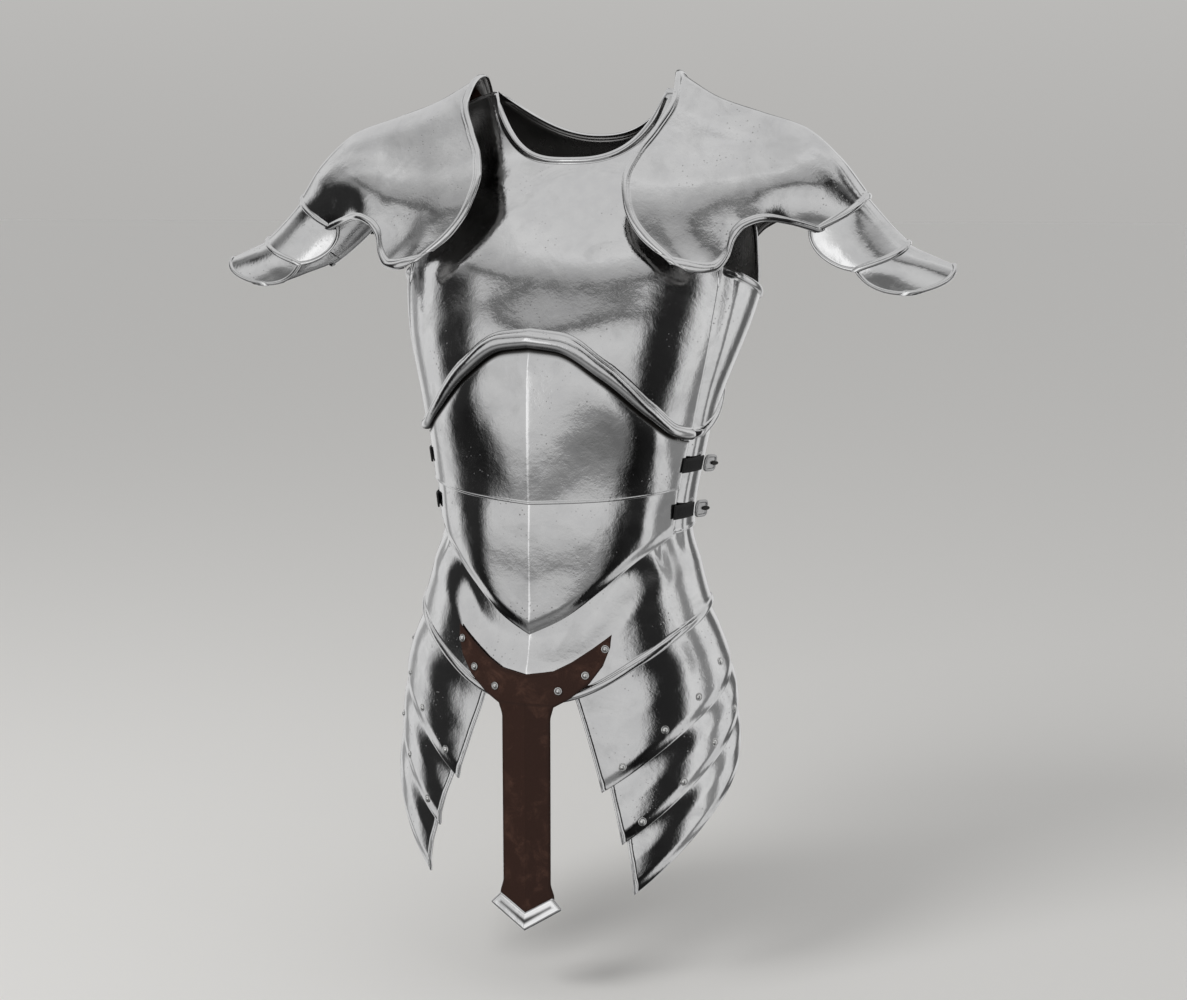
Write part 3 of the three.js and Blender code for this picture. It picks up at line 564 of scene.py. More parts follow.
# Pieces in the scene
def link(name, data, place=(0, 0, 0), tilt=0, yaw=0):
    """Object in the scene, tipped up and then turned, in degrees."""
    made = bpy.data.objects.new(name, data)
    made.location = place
    made.rotation_euler = (np.radians(tilt), 0, np.radians(yaw))
    bpy.context.scene.collection.objects.link(made)
    return made


def add(name, look, verts, faces, marks, crease=None):
    """Mesh object at the origin, smooth, that stands for the solid of its name. Its points carry their
    distance from the border, how far the inside is darkened as painted inner shade, and how far the black
    mark of painted shade and dark tone covers them."""
    mesh = bpy.data.meshes.new(name)
    mesh.from_pydata((verts * MM).tolist(), [], [list(face) for face in faces])
    mesh.polygons.foreach_set("use_smooth", np.ones(len(mesh.polygons), bool))
    for label, values in zip(("edge_mm", "painted_inner_shade", "painted_shade_and_dark"), marks.T):
        layer = mesh.attributes.new(label, "FLOAT", "POINT")
        layer.data.foreach_set("value", np.ascontiguousarray(values, np.float32))
    if crease is not None:
        ends = np.zeros(len(mesh.edges) * 2, np.int32)
        mesh.edges.foreach_get("vertices", ends)
        sharp = mesh.attributes.new("sharp_edge", "BOOLEAN", "EDGE")
        sharp.data.foreach_set("value", crease[ends.reshape(-1, 2)].all(axis=1))
    mesh.update()
    material, slot = look
    mesh.materials.append(material)
    piece = link(f"{name}_dressed", mesh)
    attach(piece, "root")
    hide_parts(name)
    return piece


def add_pair(name, look, verts, faces, marks):
    """The wearer's left piece, and its mirror image with its faces turned to match."""
    left = add(f"{name}_left", look, verts, faces, marks)
    turned = [face[::-1] for face in faces]
    return left, add(f"{name}_right", look, verts * (-1, 1, 1), turned, marks)


def ridge_points(verts):
    """Points on the middle line of the front, where the plates are creased."""
    return (np.abs(verts[:, 0]) < 1e-6) & (verts[:, 1] < 0)


def even_marks(length, step):
    return np.linspace(0, 1, max(3, int(round(length / step)) + 1))


def marks_through(stops, step):
    """Marks from 0 to 1 with near-even steps that touch every stop."""
    stops = np.asarray(stops, float)
    count = lambda a, b: max(1, int(round((b - a) / step)))
    runs = [np.linspace(a, b, count(a, b) + 1)[:-1] for a, b in zip(stops, stops[1:])]
    return (np.concatenate([*runs, stops[-1:]]) - stops[0]) / (stops[-1] - stops[0])


# Materials
class Nodes:
    """Shader nodes of one tree. A value is a socket, which is linked, or a plain number or colour."""

    def __init__(self, tree):
        self.tree = tree

    def add(self, kind, values=(), **settings):
        made = self.tree.nodes.new(kind)
        for key, value in settings.items():
            setattr(made, key, value)
        for key, value in dict(values).items():
            self.put(value, made.inputs[key])
        return made.outputs

    def put(self, value, socket):
        if isinstance(value, bpy.types.NodeSocket):
            self.tree.links.new(value, socket)
        else:
            socket.default_value = value

    def math(self, operation, *values):
        return self.add("ShaderNodeMath", enumerate(values), operation=operation)[0]

    def times(self, a, b, plus=0.0):
        return self.math("MULTIPLY_ADD", a, b, plus)

    def rest(self, share):
        """One less a share."""
        return self.math("SUBTRACT", 1.0, share)

    def noise(self, vector, scale, detail, rough, warp=0.0):
        values = {"Vector": vector, "Scale": scale, "Detail": detail, "Roughness": rough, "Distortion": warp}
        return self.add("ShaderNodeTexNoise", values)["Fac"]

    def ramp(self, value, low, high):
        """Smooth step of a value between two limits."""
        values = {"Value": value, "From Min": low, "From Max": high}
        return self.add("ShaderNodeMapRange", values, interpolation_type="SMOOTHSTEP")["Result"]

    def mix(self, factor, a, b):
        """Colour between two colours: the factor and colour sockets of a mix node, by number."""
        return self.add("ShaderNodeMix", {0: factor, 6: a, 7: b}, data_type="RGBA")[2]

    def attribute(self, name):
        return self.add("ShaderNodeAttribute", attribute_name=name)["Fac"]


def grey(light):
    return (light, light, light, 1)


def open_group(name, **floats):
    """Shader node group with a vector input and float inputs with their defaults."""
    group = bpy.data.node_groups.new(name, "ShaderNodeTree")
    group.interface.new_socket("Vector", in_out="INPUT", socket_type="NodeSocketVector")
    for label, default in floats.items():
        socket = group.interface.new_socket(label, in_out="INPUT", socket_type="NodeSocketFloat")
        socket.default_value = default
    nodes = Nodes(group)
    return nodes, nodes.add("NodeGroupInput")


def close_group(nodes, **values):
    """Output node of a group, with a float socket for each value."""
    for label in values:
        nodes.tree.interface.new_socket(label, in_out="OUTPUT", socket_type="NodeSocketFloat")
    nodes.add("NodeGroupOutput", values)
    return nodes.tree


def plate_wear_group():
    """Wear of hand-polished plate: cloudy polish, fine pits, brushed scratches, hammer waves as height."""
    nodes, inside = open_group("plate_wear", Edge=FAR_FROM_EDGE, Waves=1.0, Pitting=1.0)
    where = inside["Vector"]
    broad = nodes.noise(where, 9.0, 3.0, 0.5, 0.3)
    mottle = nodes.noise(where, 48.0, 6.0, 0.62, 0.2)
    grain = nodes.noise(where, 300.0, 3.0, 0.6)
    cloud = nodes.times(mottle, 0.62, nodes.times(broad, 0.38))
    stain = nodes.ramp(nodes.noise(where, 17.0, 7.0, 0.64, 0.8), 0.49, 0.68)
    specks = nodes.add("ShaderNodeTexVoronoi", {"Vector": where, "Scale": 190.0})["Distance"]
    patch = nodes.ramp(nodes.noise(where, 22.0, 4.0, 0.6), 0.50, 0.66)
    pit = nodes.rest(nodes.ramp(specks, 0.08, 0.24))
    pits = nodes.times(nodes.times(pit, patch), inside["Pitting"])
    stretched = nodes.add("ShaderNodeMapping", {"Vector": where, "Scale": (900.0, 900.0, 24.0)})["Vector"]
    lines = nodes.ramp(nodes.noise(stretched, 1.0, 2.0, 0.5), 0.56, 0.8)
    rim = nodes.rest(nodes.ramp(inside["Edge"], 0.2, 1.6))
    height = nodes.times(nodes.noise(where, 12.0, 2.0, 0.4), inside["Waves"])
    rubbed = nodes.times(nodes.ramp(mottle, 0.36, 0.6), 0.14, 0.02)
    for layer, gain in ((mottle, 0.34), (grain, rubbed), (pits, -0.12)):
        height = nodes.times(layer, gain, height)
    return close_group(
        nodes, Cloud=cloud, Stain=stain, Pits=pits, Scratches=lines, Rim=rim, Height=height)


def hide_grain_group():
    """Leather: cells of grain with creases between them, scuffed patches, and dark worn edges."""
    nodes, inside = open_group("hide_grain", Edge=FAR_FROM_EDGE)
    where = inside["Vector"]
    cells = nodes.add("ShaderNodeTexVoronoi", {"Vector": where, "Scale": 420.0}, feature="SMOOTH_F1")
    fine = nodes.noise(where, 260.0, 5.0, 0.6)
    scuff = nodes.ramp(nodes.noise(where, 34.0, 7.0, 0.68, 0.6), 0.48, 0.72)
    rim = nodes.rest(nodes.ramp(inside["Edge"], 0.6, 3.4))
    height = nodes.times(fine, 0.6, nodes.times(cells["Distance"], 0.7))
    return close_group(nodes, Scuff=scuff, Rim=rim, Height=nodes.times(scuff, -0.35, height))


def start_material(name, group, metallic, specular, **inputs):
    """Material with one wear group on Object coordinates and the border distance."""
    made = bpy.data.materials.new(name)
    made.use_nodes = True
    nodes = Nodes(made.node_tree)
    where = nodes.add("ShaderNodeTexCoord")["Object"]
    values = {"Vector": where, "Edge": nodes.attribute("edge_mm"), **inputs}
    shader = made.node_tree.nodes["Principled BSDF"].inputs
    nodes.put(metallic, shader["Metallic"])
    nodes.put(specular, shader["Specular IOR Level"])
    return made, nodes, shader, nodes.add("ShaderNodeGroup", values, node_tree=group)


def finish_material(nodes, shader, tone, gloss, height, deep_mm):
    """Colour, roughness and height of the wear go into the shader."""
    values = {"Height": height, "Distance": deep_mm * MM, "Strength": 1.0}
    nodes.put(tone, shader["Base Color"])
    nodes.put(gloss, shader["Roughness"])
    nodes.put(nodes.add("ShaderNodeBump", values)["Normal"], shader["Normal"])


def steel_material(name, bright, dull, rough, waves, pitting, wave_mm):
    """Polished steel: nearly even tone between two greys, darker pits, a paler worn rim, uneven gloss. The
    inside of a plate is darkened as painted inner shade, and a near-black mark paints shade under the rib,
    in rivet grooves and across the strap tip, and darkens the buckle's tongue."""
    made, nodes, shader, wear = start_material(name, PLATE_WEAR, 1.0, 0.5, Waves=waves, Pitting=pitting)
    painted_inner_shade, painted_shade_and_dark = nodes.attribute("painted_inner_shade"), nodes.attribute("painted_shade_and_dark")
    tone = nodes.mix(nodes.ramp(wear["Cloud"], 0.36, 0.62), dull, bright)
    # Painted inner shade darkens the inner faces, and the near-black mark paints shade in laps and grooves
    # and darkens the buckle's tongue; both also roughen the surface.
    for mask, share, colour in (
        (wear["Stain"], 0.3, STAIN), (wear["Pits"], 0.45, PIT), (wear["Rim"], 0.35, WORN_RIM),
        (painted_inner_shade, 1.0, INNER_SHADE_GREY), (painted_shade_and_dark, 1.0, PAINTED_SHADE_AND_DARK_COLOUR),
    ):
        tone = nodes.mix(nodes.times(mask, share), tone, colour)
    gloss = rough
    for mask, gain in (
        (nodes.ramp(wear["Cloud"], 0.42, 0.66), 0.06), (wear["Stain"], 0.07), (wear["Scratches"], 0.04),
        (wear["Pits"], 0.25), (painted_inner_shade, 0.2), (painted_shade_and_dark, 0.35),
    ):
        gloss = nodes.times(mask, gain, gloss)
    finish_material(nodes, shader, tone, gloss, wear["Height"], wave_mm)
    return made


def leather_material(name, deep, worn, rim, rough, grain_mm=0.25):
    """Leather: deep colour with scuffed patches, a worn rim, grain as height."""
    made, nodes, shader, wear = start_material(name, HIDE_GRAIN, 0.0, 0.25)
    tone = nodes.mix(wear["Scuff"], deep, worn)
    tone = nodes.mix(nodes.times(wear["Rim"], 0.6), tone, rim)
    finish_material(nodes, shader, tone, nodes.times(wear["Scuff"], 0.18, rough), wear["Height"], grain_mm)
    return made


PLATE_WEAR = plate_wear_group()
HIDE_GRAIN = hide_grain_group()
STAIN = grey(0.50)
PIT = (0.14, 0.13, 0.125, 1)
WORN_RIM = grey(0.9)
# Grey painted on the inside of the plates as painted inner shade
INNER_SHADE_GREY = (0.3, 0.295, 0.29, 1)
# Near-black of painted shade under the rib, in rivet grooves and over the strap tip, also used for the
# buckle's dark tongue
PAINTED_SHADE_AND_DARK_COLOUR = (0.022, 0.020, 0.018, 1)

# Looks: a material and its slot
STEEL = steel_material("polished_plate", grey(0.80), (0.74, 0.74, 0.745, 1), 0.06, 2.4, 1.0, 0.5), "steel"
RIVET = steel_material("rivet_steel", (0.9, 0.9, 0.89, 1), (0.8, 0.8, 0.79, 1), 0.1, 0.3, 0.3, 0.1), "rivet"
BUCKLE_STEEL = steel_material("buckle_steel", grey(0.66), grey(0.5), 0.3, 0.3, 0.6, 0.1), "buckle"
BROWN_HIDE = leather_material(
    "brown_hide", (0.034, 0.0135, 0.0085, 1), (0.080, 0.038, 0.026, 1), (0.024, 0.010, 0.0065, 1), 0.56,
), "leather"
BLACK_HIDE = leather_material(
    "black_hide", (0.006, 0.006, 0.0065, 1), (0.016, 0.016, 0.017, 1), grey(0.02), 0.5), "black"


# Breast and back
def neck_rise(turn, base, power):
    """Neck edge: a power of the share of the neck's half width, from its lowest point to the shoulder."""
    x = np.minimum(np.abs(skin(turn, base)[..., 0]), NECK_HALF) / NECK_HALF
    return base + (SHOULDER_TOP - base) * x**power


def shoulder_seam(turn):
    return SHOULDER_TOP - shoulder_fall(body["wide"](0) * sin_deg(turn))


def upper_edge(t, neck, armhole):
    """Neck edge, then the shoulder seam, then the armhole, by the angle from the nearest middle line."""
    armhole_or_seam = np.where(t < SHOULDER_END, shoulder_seam(t), armhole)
    return np.where(t < NECK_SIDE, neck_rise(t, **neck), armhole_or_seam)


def roll_share(t):
    """The neck roll fades out at the neck corner, and a smaller one runs along the armhole."""
    armhole = ARMHOLE_ROLL["share"] * smoothstep(t, *ARMHOLE_ROLL["turns"])
    return np.where(t < NECK_SIDE, 1 - smoothstep(t, NECK_ROLL_FADE, NECK_SIDE), armhole)


def past_tuck(turn):
    """Share of the way from the back's hidden side margin to its open part."""
    return smoothstep(fold(turn), *BACK_TUCK_TURNS)


def body_plate(name, turns, step, bottom, top, out, rows, painted_shade_and_dark=None, **rolls):
    """Plate on the skin between two edges over a range of angles, each point moved out by its layer. Painted
    shade, if any, is given against the height above the breast's hem."""
    def plate(u, v):
        t = lerp(turns[0], turns[-1], u)
        z = lerp(bottom(t), top(t), v)
        return skin(t, z, out(t, z))

    verts, quads, marks = sheet(plate, marks_through(turns, step), rows, **rolls)
    if painted_shade_and_dark:
        x, z = verts[:, 0], verts[:, 2]
        column = turn_at(x, z) / (1 - seam_fade(z) / SIDE_SEAM)
        marks[:, 2] = painted_shade_and_dark(z - breast_hem(column))
    add(name, STEEL, verts, quads, marks)


def make_breastplate():
    half = (NECK_SIDE, SHOULDER_END, SIDE_SEAM)
    stops = [*(-stop for stop in half[::-1]), *RIDGE_STOPS, *half]
    turn = lambda u: lerp(-SIDE_SEAM, SIDE_SEAM, u)
    top = lambda t: upper_edge(np.abs(t), NECK_FRONT, breast_armhole(t))
    taper = lambda u: lerp(1, RIB_TAPER["end"], smoothstep(np.abs(turn(u)), RIB_TAPER["from"], SIDE_SEAM))
    # The rib's underside, just above the hem, takes painted shade.
    body_plate(
        "breastplate", stops, 1.0, breast_hem, top, lambda t, z: 0.0, even_marks(330, 4.5),
        painted_shade_and_dark=lambda above: 1 - smoothstep(above, *BREAST_PAINTED_SHADE),
        low=(lambda u: RIB[0] * taper(u), lambda u: RIB[1] * taper(u)),
        high=(NECK_ROLL[0], lambda u: NECK_ROLL[1] * roll_share(np.abs(turn(u)))),
    )


def make_upper_back():
    half = (BACK_SIDE, ARMHOLE_CORNER, 180 - SHOULDER_END, 180 - NECK_SIDE)
    stops = [*half, 180, *(360 - stop for stop in half[::-1])]
    turn = lambda u: lerp(BACK_SIDE, 360 - BACK_SIDE, u)
    top = lambda t: upper_edge(180 - fold(t), NECK_BACK, back_armhole(t))
    tuck = lambda t, z: -BACK_TUCK * (1 - past_tuck(t)) * (1 - smoothstep(z, *SHOULDER_BLEND))
    share = lambda u: past_tuck(turn(u)) * roll_share(180 - fold(turn(u)))
    body_plate(
        "backplate_upper", stops, 1.3, breast_hem, top, tuck, even_marks(300, 5.5),
        low=(BACK_RIB[0], lambda u: BACK_RIB[1] * past_tuck(turn(u))),
        high=(NECK_ROLL[0], lambda u: NECK_ROLL[1] * share(u)),
    )


# Belly, lower back and skirt
def fauld_out(turn, z):
    """The skirt's upper margin lies under the waist plates and comes out to the hem, level across the
    middle so that the ridge stays sharp."""
    t = fold(turn)
    under = waist_hem(t * smoothstep(t, *FAULD["level"]))
    under_belly = lerp(-2 * LAYER, UNDER_SEAM, smoothstep(t, *FAULD["under_belly"]))
    deep = lerp(under_belly, -LAP, smoothstep(t, *FAULD["under_back"])) - PLATE - 2 * CLEAR
    return lerp(FAULD["lift"], deep, smoothstep(z, under + TUCK["fauld"] - FAULD["flare"], under))


def belly_out(layer, bottom, top, middle, climb, border=0.0):
    """Belly plate: its layer, with a shallow parabola over a power of its height. The power climbs away
    from the middle line, where the swell is a given share, and the swell fades to the side seams. A share
    of the turned-in border may close it below."""
    def out(turn, z):
        away = smoothstep(np.abs(turn), *BELLY["ridge"])
        tall = top(turn) - bottom(turn)
        q = np.clip((z - bottom(turn)) / tall, 0, 1) ** lerp(1, climb, away)
        swell = lerp(middle, BELLY["swell"], away) * (1 - smoothstep(np.abs(turn), *BELLY["sides"]))
        bulge = BELLY["bulge"] * swell * tall * 4 * q * (1 - q)
        return layer + bulge + border * turned_in(z - bottom(turn))

    return out


def turned_in(height):
    """Border that swells a little and then falls inward, against the height above its edge."""
    fall = TURN_IN["fall"] * (1 - smoothstep(height, 0, TURN_IN["wide"]))
    return (TURN_IN["swell"] - fall) * (1 - smoothstep(height, TURN_IN["wide"], 4 * TURN_IN["wide"]))


def make_waist_and_skirt():
    front = [-SIDE_SEAM, *RIDGE_STOPS, SIDE_SEAM]
    hip = HIP_SEAM - HIP_GAP
    tuck = lambda t: lerp(TUCK["belly"], BELLY_TUCK["side"], smoothstep(np.abs(t), *BELLY_TUCK["turns"]))
    upper_top = lambda t: breast_hem(t) + tuck(t)
    lower_top = lambda t: belly_hem(t) + TUCK["belly"]
    back_top = lambda t: breast_hem(t) + TUCK["back"]
    back_out = lambda t, z: lerp(UNDER_SEAM, -LAP, past_tuck(t))
    skirt_top = lambda t: waist_hem(t) + TUCK["fauld"]
    upper_out = belly_out(-LAYER, belly_hem, upper_top, middle=0.8, climb=2.6)
    lower_out = belly_out(-2 * LAYER, waist_hem, lower_top, middle=0.2, climb=1.0, border=1.0)
    # The upper belly plate's top strip, under the breast's rib, takes painted shade.
    body_plate("belly_plate_upper", front, 1.2, belly_hem, upper_top, upper_out, even_marks(170, 2),
               painted_shade_and_dark=lambda above: smoothstep(above, *BELLY_PAINTED_SHADE), low=HEM_ROLL)
    body_plate("belly_plate_lower", front, 1.2, waist_hem, lower_top, lower_out, even_marks(150, 2))
    body_plate("backplate_lower", [BACK_SIDE, 180, 360 - BACK_SIDE], 1.6, waist_hem, back_top, back_out,
               even_marks(170, 5), low=HEM_ROLL)
    body_plate("fauld", [-hip, *RIDGE_STOPS, hip], 1.2, fauld_hem, skirt_top, fauld_out,
               even_marks(110, 3.5), low=SKIRT_ROLL)
    body_plate("culet", [HIP_SEAM + HIP_GAP, 180, 360 - HIP_GAP - HIP_SEAM], 1.6, fauld_hem, skirt_top,
               fauld_out, even_marks(110, 4.5), low=SKIRT_ROLL)


# Tassets and their rivets
def add_rivets(name, point, normal, radius, height):
    """Pair of round heads with a flat ring: a half circle profile, a groove and a rim, turned about the
    normal of the piece below. Painted shade lies at the foot and in the groove."""
    wide, base = RIVET_DOME
    dome = [(wide * np.cos(a), base + (1 - base) * np.sin(a)) for a in np.linspace(0, np.pi / 2, 7)[1:-1]]
    profile = np.array([(0, 0), *RIVET_FOOT, *dome, (0, 1)]) * (radius, height)
    verts, faces = revolved(profile, RIVET_SIDES)
    marks = plain_marks(len(verts))
    marks[:len(RIVET_PAINTED_SHADE) * RIVET_SIDES, 2] = np.repeat(RIVET_PAINTED_SHADE, RIVET_SIDES)
    side = unit(np.cross(normal, (0.3, 0.2, 1.0)))
    basis = np.stack([side, np.cross(normal, side), normal])
    add_pair(name, RIVET, verts @ basis + point + normal * CLEAR, faces, marks)


def make_tassets():
    hems = [hem(table("turn z", [
        (lame["tip"], lame["tip_z"]), (lame["mid_turn"], lame["mid_z"]),
        (TASSET_SIDE, lame["side_z"]), (TASSET_REAR, lame["rear_z"]),
    ])) for lame in TASSET]
    for i, lame in enumerate(TASSET):
        top = hems[i - 1] if i else fauld_hem

        def plate(u, v, lame=lame, edge=hems[i], top=top):
            low, high = lerp(lame["tip"], TASSET_REAR, u), lerp(lame["top"], TASSET_REAR, u)
            tall = top(high) + TUCK["lame"] - edge(low)
            out = turned_in(v * tall) - LAP * smoothstep(v, *LAME_TUCK_AT)
            return skin(lerp(low, high, v), edge(low) + v * tall, out)

        made = sheet(plate, even_marks(330, 3.6), even_marks(110, 1.8), start=HEM_ROLL)
        add_pair(f"tasset_lame_{i + 1}", STEEL, *made)
    for i, (x, z) in enumerate(TASSET_RIVETS):
        turn = turn_at(x, z)
        add_rivets(f"tasset_rivet_{i + 1}", skin(turn, z), skin_normal(turn, z), *TASSET_RIVET)


# Leather yoke, hanging strap and its steel end
YOKE_OUT = FAULD["lift"] + LEATHER + 2 * CLEAR


def on_fauld(x, z, out):
    return skin(turn_at(x, z, out), z, out)


def make_yoke():
    corners = YOKE["x"]

    def hide(u, v):
        x = lerp(-corners[-1], corners[-1], u)
        lower, upper = (np.interp(np.abs(x), corners, YOKE[edge]) for edge in ("lower", "upper"))
        return on_fauld(x, lerp(lower, upper, v), YOKE_OUT)

    stops = [*-corners[:0:-1], *corners]
    made = sheet(hide, marks_through(stops, 1.5), even_marks(36, 1.5), LEATHER)
    add("leather_yoke", BROWN_HIDE, *made, ridge_points(made[0]))
    for i, (x, z) in enumerate(YOKE_RIVETS):
        normal = skin_normal(turn_at(x, z), z)
        add_rivets(f"yoke_rivet_{i + 1}", on_fauld(x, z, YOKE_OUT), normal, *YOKE_RIVET)


def tongue_y(x):
    return TONGUE["edge_y"] - TONGUE["ridge"] * (1 - np.abs(x) / TONGUE["half"])


def make_strap():
    def hide(u, v):
        share = lerp(-1, 1, u)
        x = share * lerp(TONGUE["half"], TONGUE["flare"], smoothstep(np.abs(v - 0.5), *TONGUE["flare_at"]))
        z = lerp(TONGUE["end"] + TONGUE["rise"] * np.abs(share), TONGUE["top"] + TONGUE["lap"], v)
        bend = TONGUE["top"] - TONGUE["bend"]
        y = np.minimum(tongue_y(x), on_fauld(x, np.maximum(z, bend), YOKE_OUT + TONGUE["over"])[..., 1])
        return np.stack([x, lerp(tongue_y(x), y, smoothstep(z, bend, TONGUE["top"])), z], -1)

    made = sheet(hide, marks_through([-1, 0, 1], 0.05), even_marks(237, 2), LEATHER)
    add("leather_strap", BROWN_HIDE, *made, ridge_points(made[0]))

    def shoe(u, v):
        share = lerp(-1, 1, u)
        x = share * lerp(TIP["half"], TIP["upper"], v)
        k = 1 - v
        z = TONGUE["end"] - CLEAR - k * TIP["depth"] + lerp(TONGUE["rise"], TIP["rise"], k) * np.abs(share)
        return np.stack([x, tongue_y(x * TIP["fit"]) - TIP["stand"] - TIP["flare"] * k, z], -1)

    verts, quads, marks = sheet(shoe, marks_through([-1, 0, 1], 0.05), even_marks(20, 0.8), TIP["thick"])
    # Painted shade darkens the tip's middle band, away from its edges.
    marks[:, 2] = TIP_PAINTED_SHADE["share"] * smoothstep(marks[:, 0], *TIP_PAINTED_SHADE["from_edge"])
    add("strap_tip", STEEL, verts, quads, marks, ridge_points(verts))


# Side straps and buckles
def make_side_straps():
    for strap in SIDE_STRAPS:
        out = strap["seat"] + CLEAR + STRAP
        low, high = strap["z"] - strap["tall"] / 2, strap["z"] + strap["tall"] / 2
        hide = lambda u, v: skin(lerp(*strap["ends"], u), lerp(low, high, v), out)
        made = sheet(hide, even_marks(70, 1.5), even_marks(14, 1), STRAP)
        add_pair(f"side_strap_{strap['name']}", BLACK_HIDE, *made)
        add_pair(f"side_buckle_{strap['name']}", BUCKLE_STEEL, *buckle_mesh(strap))


def oval(middle, wide, tall, count, power=1.0):
    """Closed path: a superellipse about a middle, with its half axes given as vectors."""
    angle = full_turn(count)
    bent = lambda v: np.sign(v) * np.abs(v) ** power
    return middle + np.outer(bent(np.cos(angle)), wide) + np.outer(bent(np.sin(angle)), tall)


def buckle_mesh(strap):
    """Buckle past the strap's end, its far side leaning out: a round bar along a rounded rectangle, a flat
    plate that fills it, and a dark tongue that lies over both."""
    end, z = strap["ends"][1], strap["z"]
    bar, lean, tongue = BUCKLE["bar"], BUCKLE["lean"], BUCKLE_TONGUE
    per_degree = np.linalg.norm(skin(end + 6, z) - skin(end + 5, z))
    turn = end + (BUCKLE["wide"] / 2 - BUCKLE["lap"]) / per_degree
    normal = skin_normal(turn, z)
    up = unit(np.array([0, 0, 1]) - normal * normal[2])
    along = unit(np.cross(up, normal) + normal * np.tan(np.radians(lean)))
    middle = skin(turn, z, strap["seat"]) + normal * (BUCKLE["stand"] + sin_deg(lean) * BUCKLE["wide"] / 2)
    normal = np.cross(along, up)
    wide, tall = along * (BUCKLE["wide"] / 2 - bar), up * (BUCKLE["tall"] / 2 - bar)
    inside = np.linspace(-BUCKLE["inside"], BUCKLE["inside"], 8)
    across, rise = np.meshgrid(inside, inside, indexing="ij")
    flat = middle + across[..., None] * wide + rise[..., None] * tall
    over = middle + wide * tongue["place"] + normal * tongue["lift"]
    parts = [
        loop_tube(oval(middle, wide, tall, 64, BUCKLE["square"]), 10, bar, normal),
        between(flat + normal * BUCKLE["plate"], flat - normal * BUCKLE["plate"])[:2],
        loop_tube(oval(over, wide / 2, up * tongue["half"], 40), 8, tongue["bar"] * bar, normal),
    ]
    counts = [len(verts) for verts, _ in parts]
    offsets = np.cumsum([0] + counts[:-1])
    verts = np.concatenate([verts for verts, _ in parts])
    marks = plain_marks(len(verts))
    # The tongue is made near-black with the same mark.
    marks[-counts[-1]:, 2] = tongue["painted_shade_and_dark"]
    return verts, np.concatenate([quads + offset for (_, quads), offset in zip(parts, offsets)]), marks


# Pauldrons
def arm_skin(at, turn, out):
    """Upper arm ring: half ellipses fore and aft, leaning out with the arm, fuller in front."""
    tilt = arm["tilt"](at)
    fall = (arm["drop"](at) + out) * (1 - cos_deg(turn)) - out
    deep = np.where(turn > 0, arm["front"](at), arm["rear"](at))
    swell = arm["bulge"](at) * sin_deg(2 * np.clip(turn, 0, 90))
    return np.stack([
        arm["x"](at) - fall * sin_deg(tilt) + swell * cos_deg(tilt),
        arm["y"](at) - (deep + out) * sin_deg(turn),
        arm["z"](at) - fall * cos_deg(tilt) - swell * sin_deg(tilt),
    ], -1)


def space_curve(rows):
    parts = columns(rows, "along")
    return lambda k: np.stack([parts["x"](k), parts["y"](k), parts["z"](k)], -1)


cap_crest = space_curve(CAP_CREST)
CAP_HALVES = [
    (space_curve(CAP_INNER), space_curve(CAP_FRONT), CAP_FRONT_END),
    (space_curve(CAP_REAR_INNER), space_curve(CAP_REAR), -CAP_REAR_END),
]


def cap_half(s, k, inner, lower, end):
    """Blend of the four edges of one half of the cap: the crest and the lower edge mixed by the square of
    k, the neck edge and the arm ring mixed by s, less their corners."""
    s, k = s[..., None], k[..., None]
    h = k * k
    ring = arm_skin(CAP_END, k[..., 0] * end, CAP_OUT)
    zero, one = np.zeros(()), np.ones(())
    along = lambda near, far: (1 - s) * near + s * far
    down = lambda high, low: (1 - h) * high + h * low
    corners = along(down(inner(zero), lower(zero)), down(cap_crest(one), lower(one)))
    return along(inner(k[..., 0]), ring) + down(cap_crest(s[..., 0]), lower(s[..., 0])) - corners


def cap_point(s, w):
    s, w = np.broadcast_arrays(np.asarray(s, float), np.asarray(w, float))
    front, rear = (cap_half(s, np.abs(w), *edges) for edges in CAP_HALVES)
    return np.where((w > 0)[..., None], front, rear)


def make_pauldrons():
    cap = lambda u, v: cap_point(u, lerp(1, -1, v))
    made = sheet(cap, even_marks(260, 3.6), marks_through([-1, 0, 1], 0.016),
                 start=CAP_ROLL, end=LAME_ROLL, low=CAP_ROLL, high=CAP_ROLL)
    add_pair("pauldron_cap", STEEL, *made)
    for lame in LAMES:

        def ring(u, v, lame=lame):
            at = lerp(*lame["ends"], u)
            ahead = lerp(*lame["front"], u) + 4 * lame["swell"] * u * (1 - u)
            w = lerp(1, -1, v)
            reach = w * np.where(w > 0, ahead, lerp(*lame["rear"], u))
            return arm_skin(at, reach, lerp(*lame["out"], u))

        # The lames take no painted inner shade.
        made = sheet(ring, even_marks(90, 2), marks_through([-1, 0, 1], 0.03), inner_shade_share=0.0,
                     end=LAME_ROLL, low=HEM_ROLL, high=HEM_ROLL)
        add_pair(f"pauldron_lame_{lame['name']}", STEEL, *made)


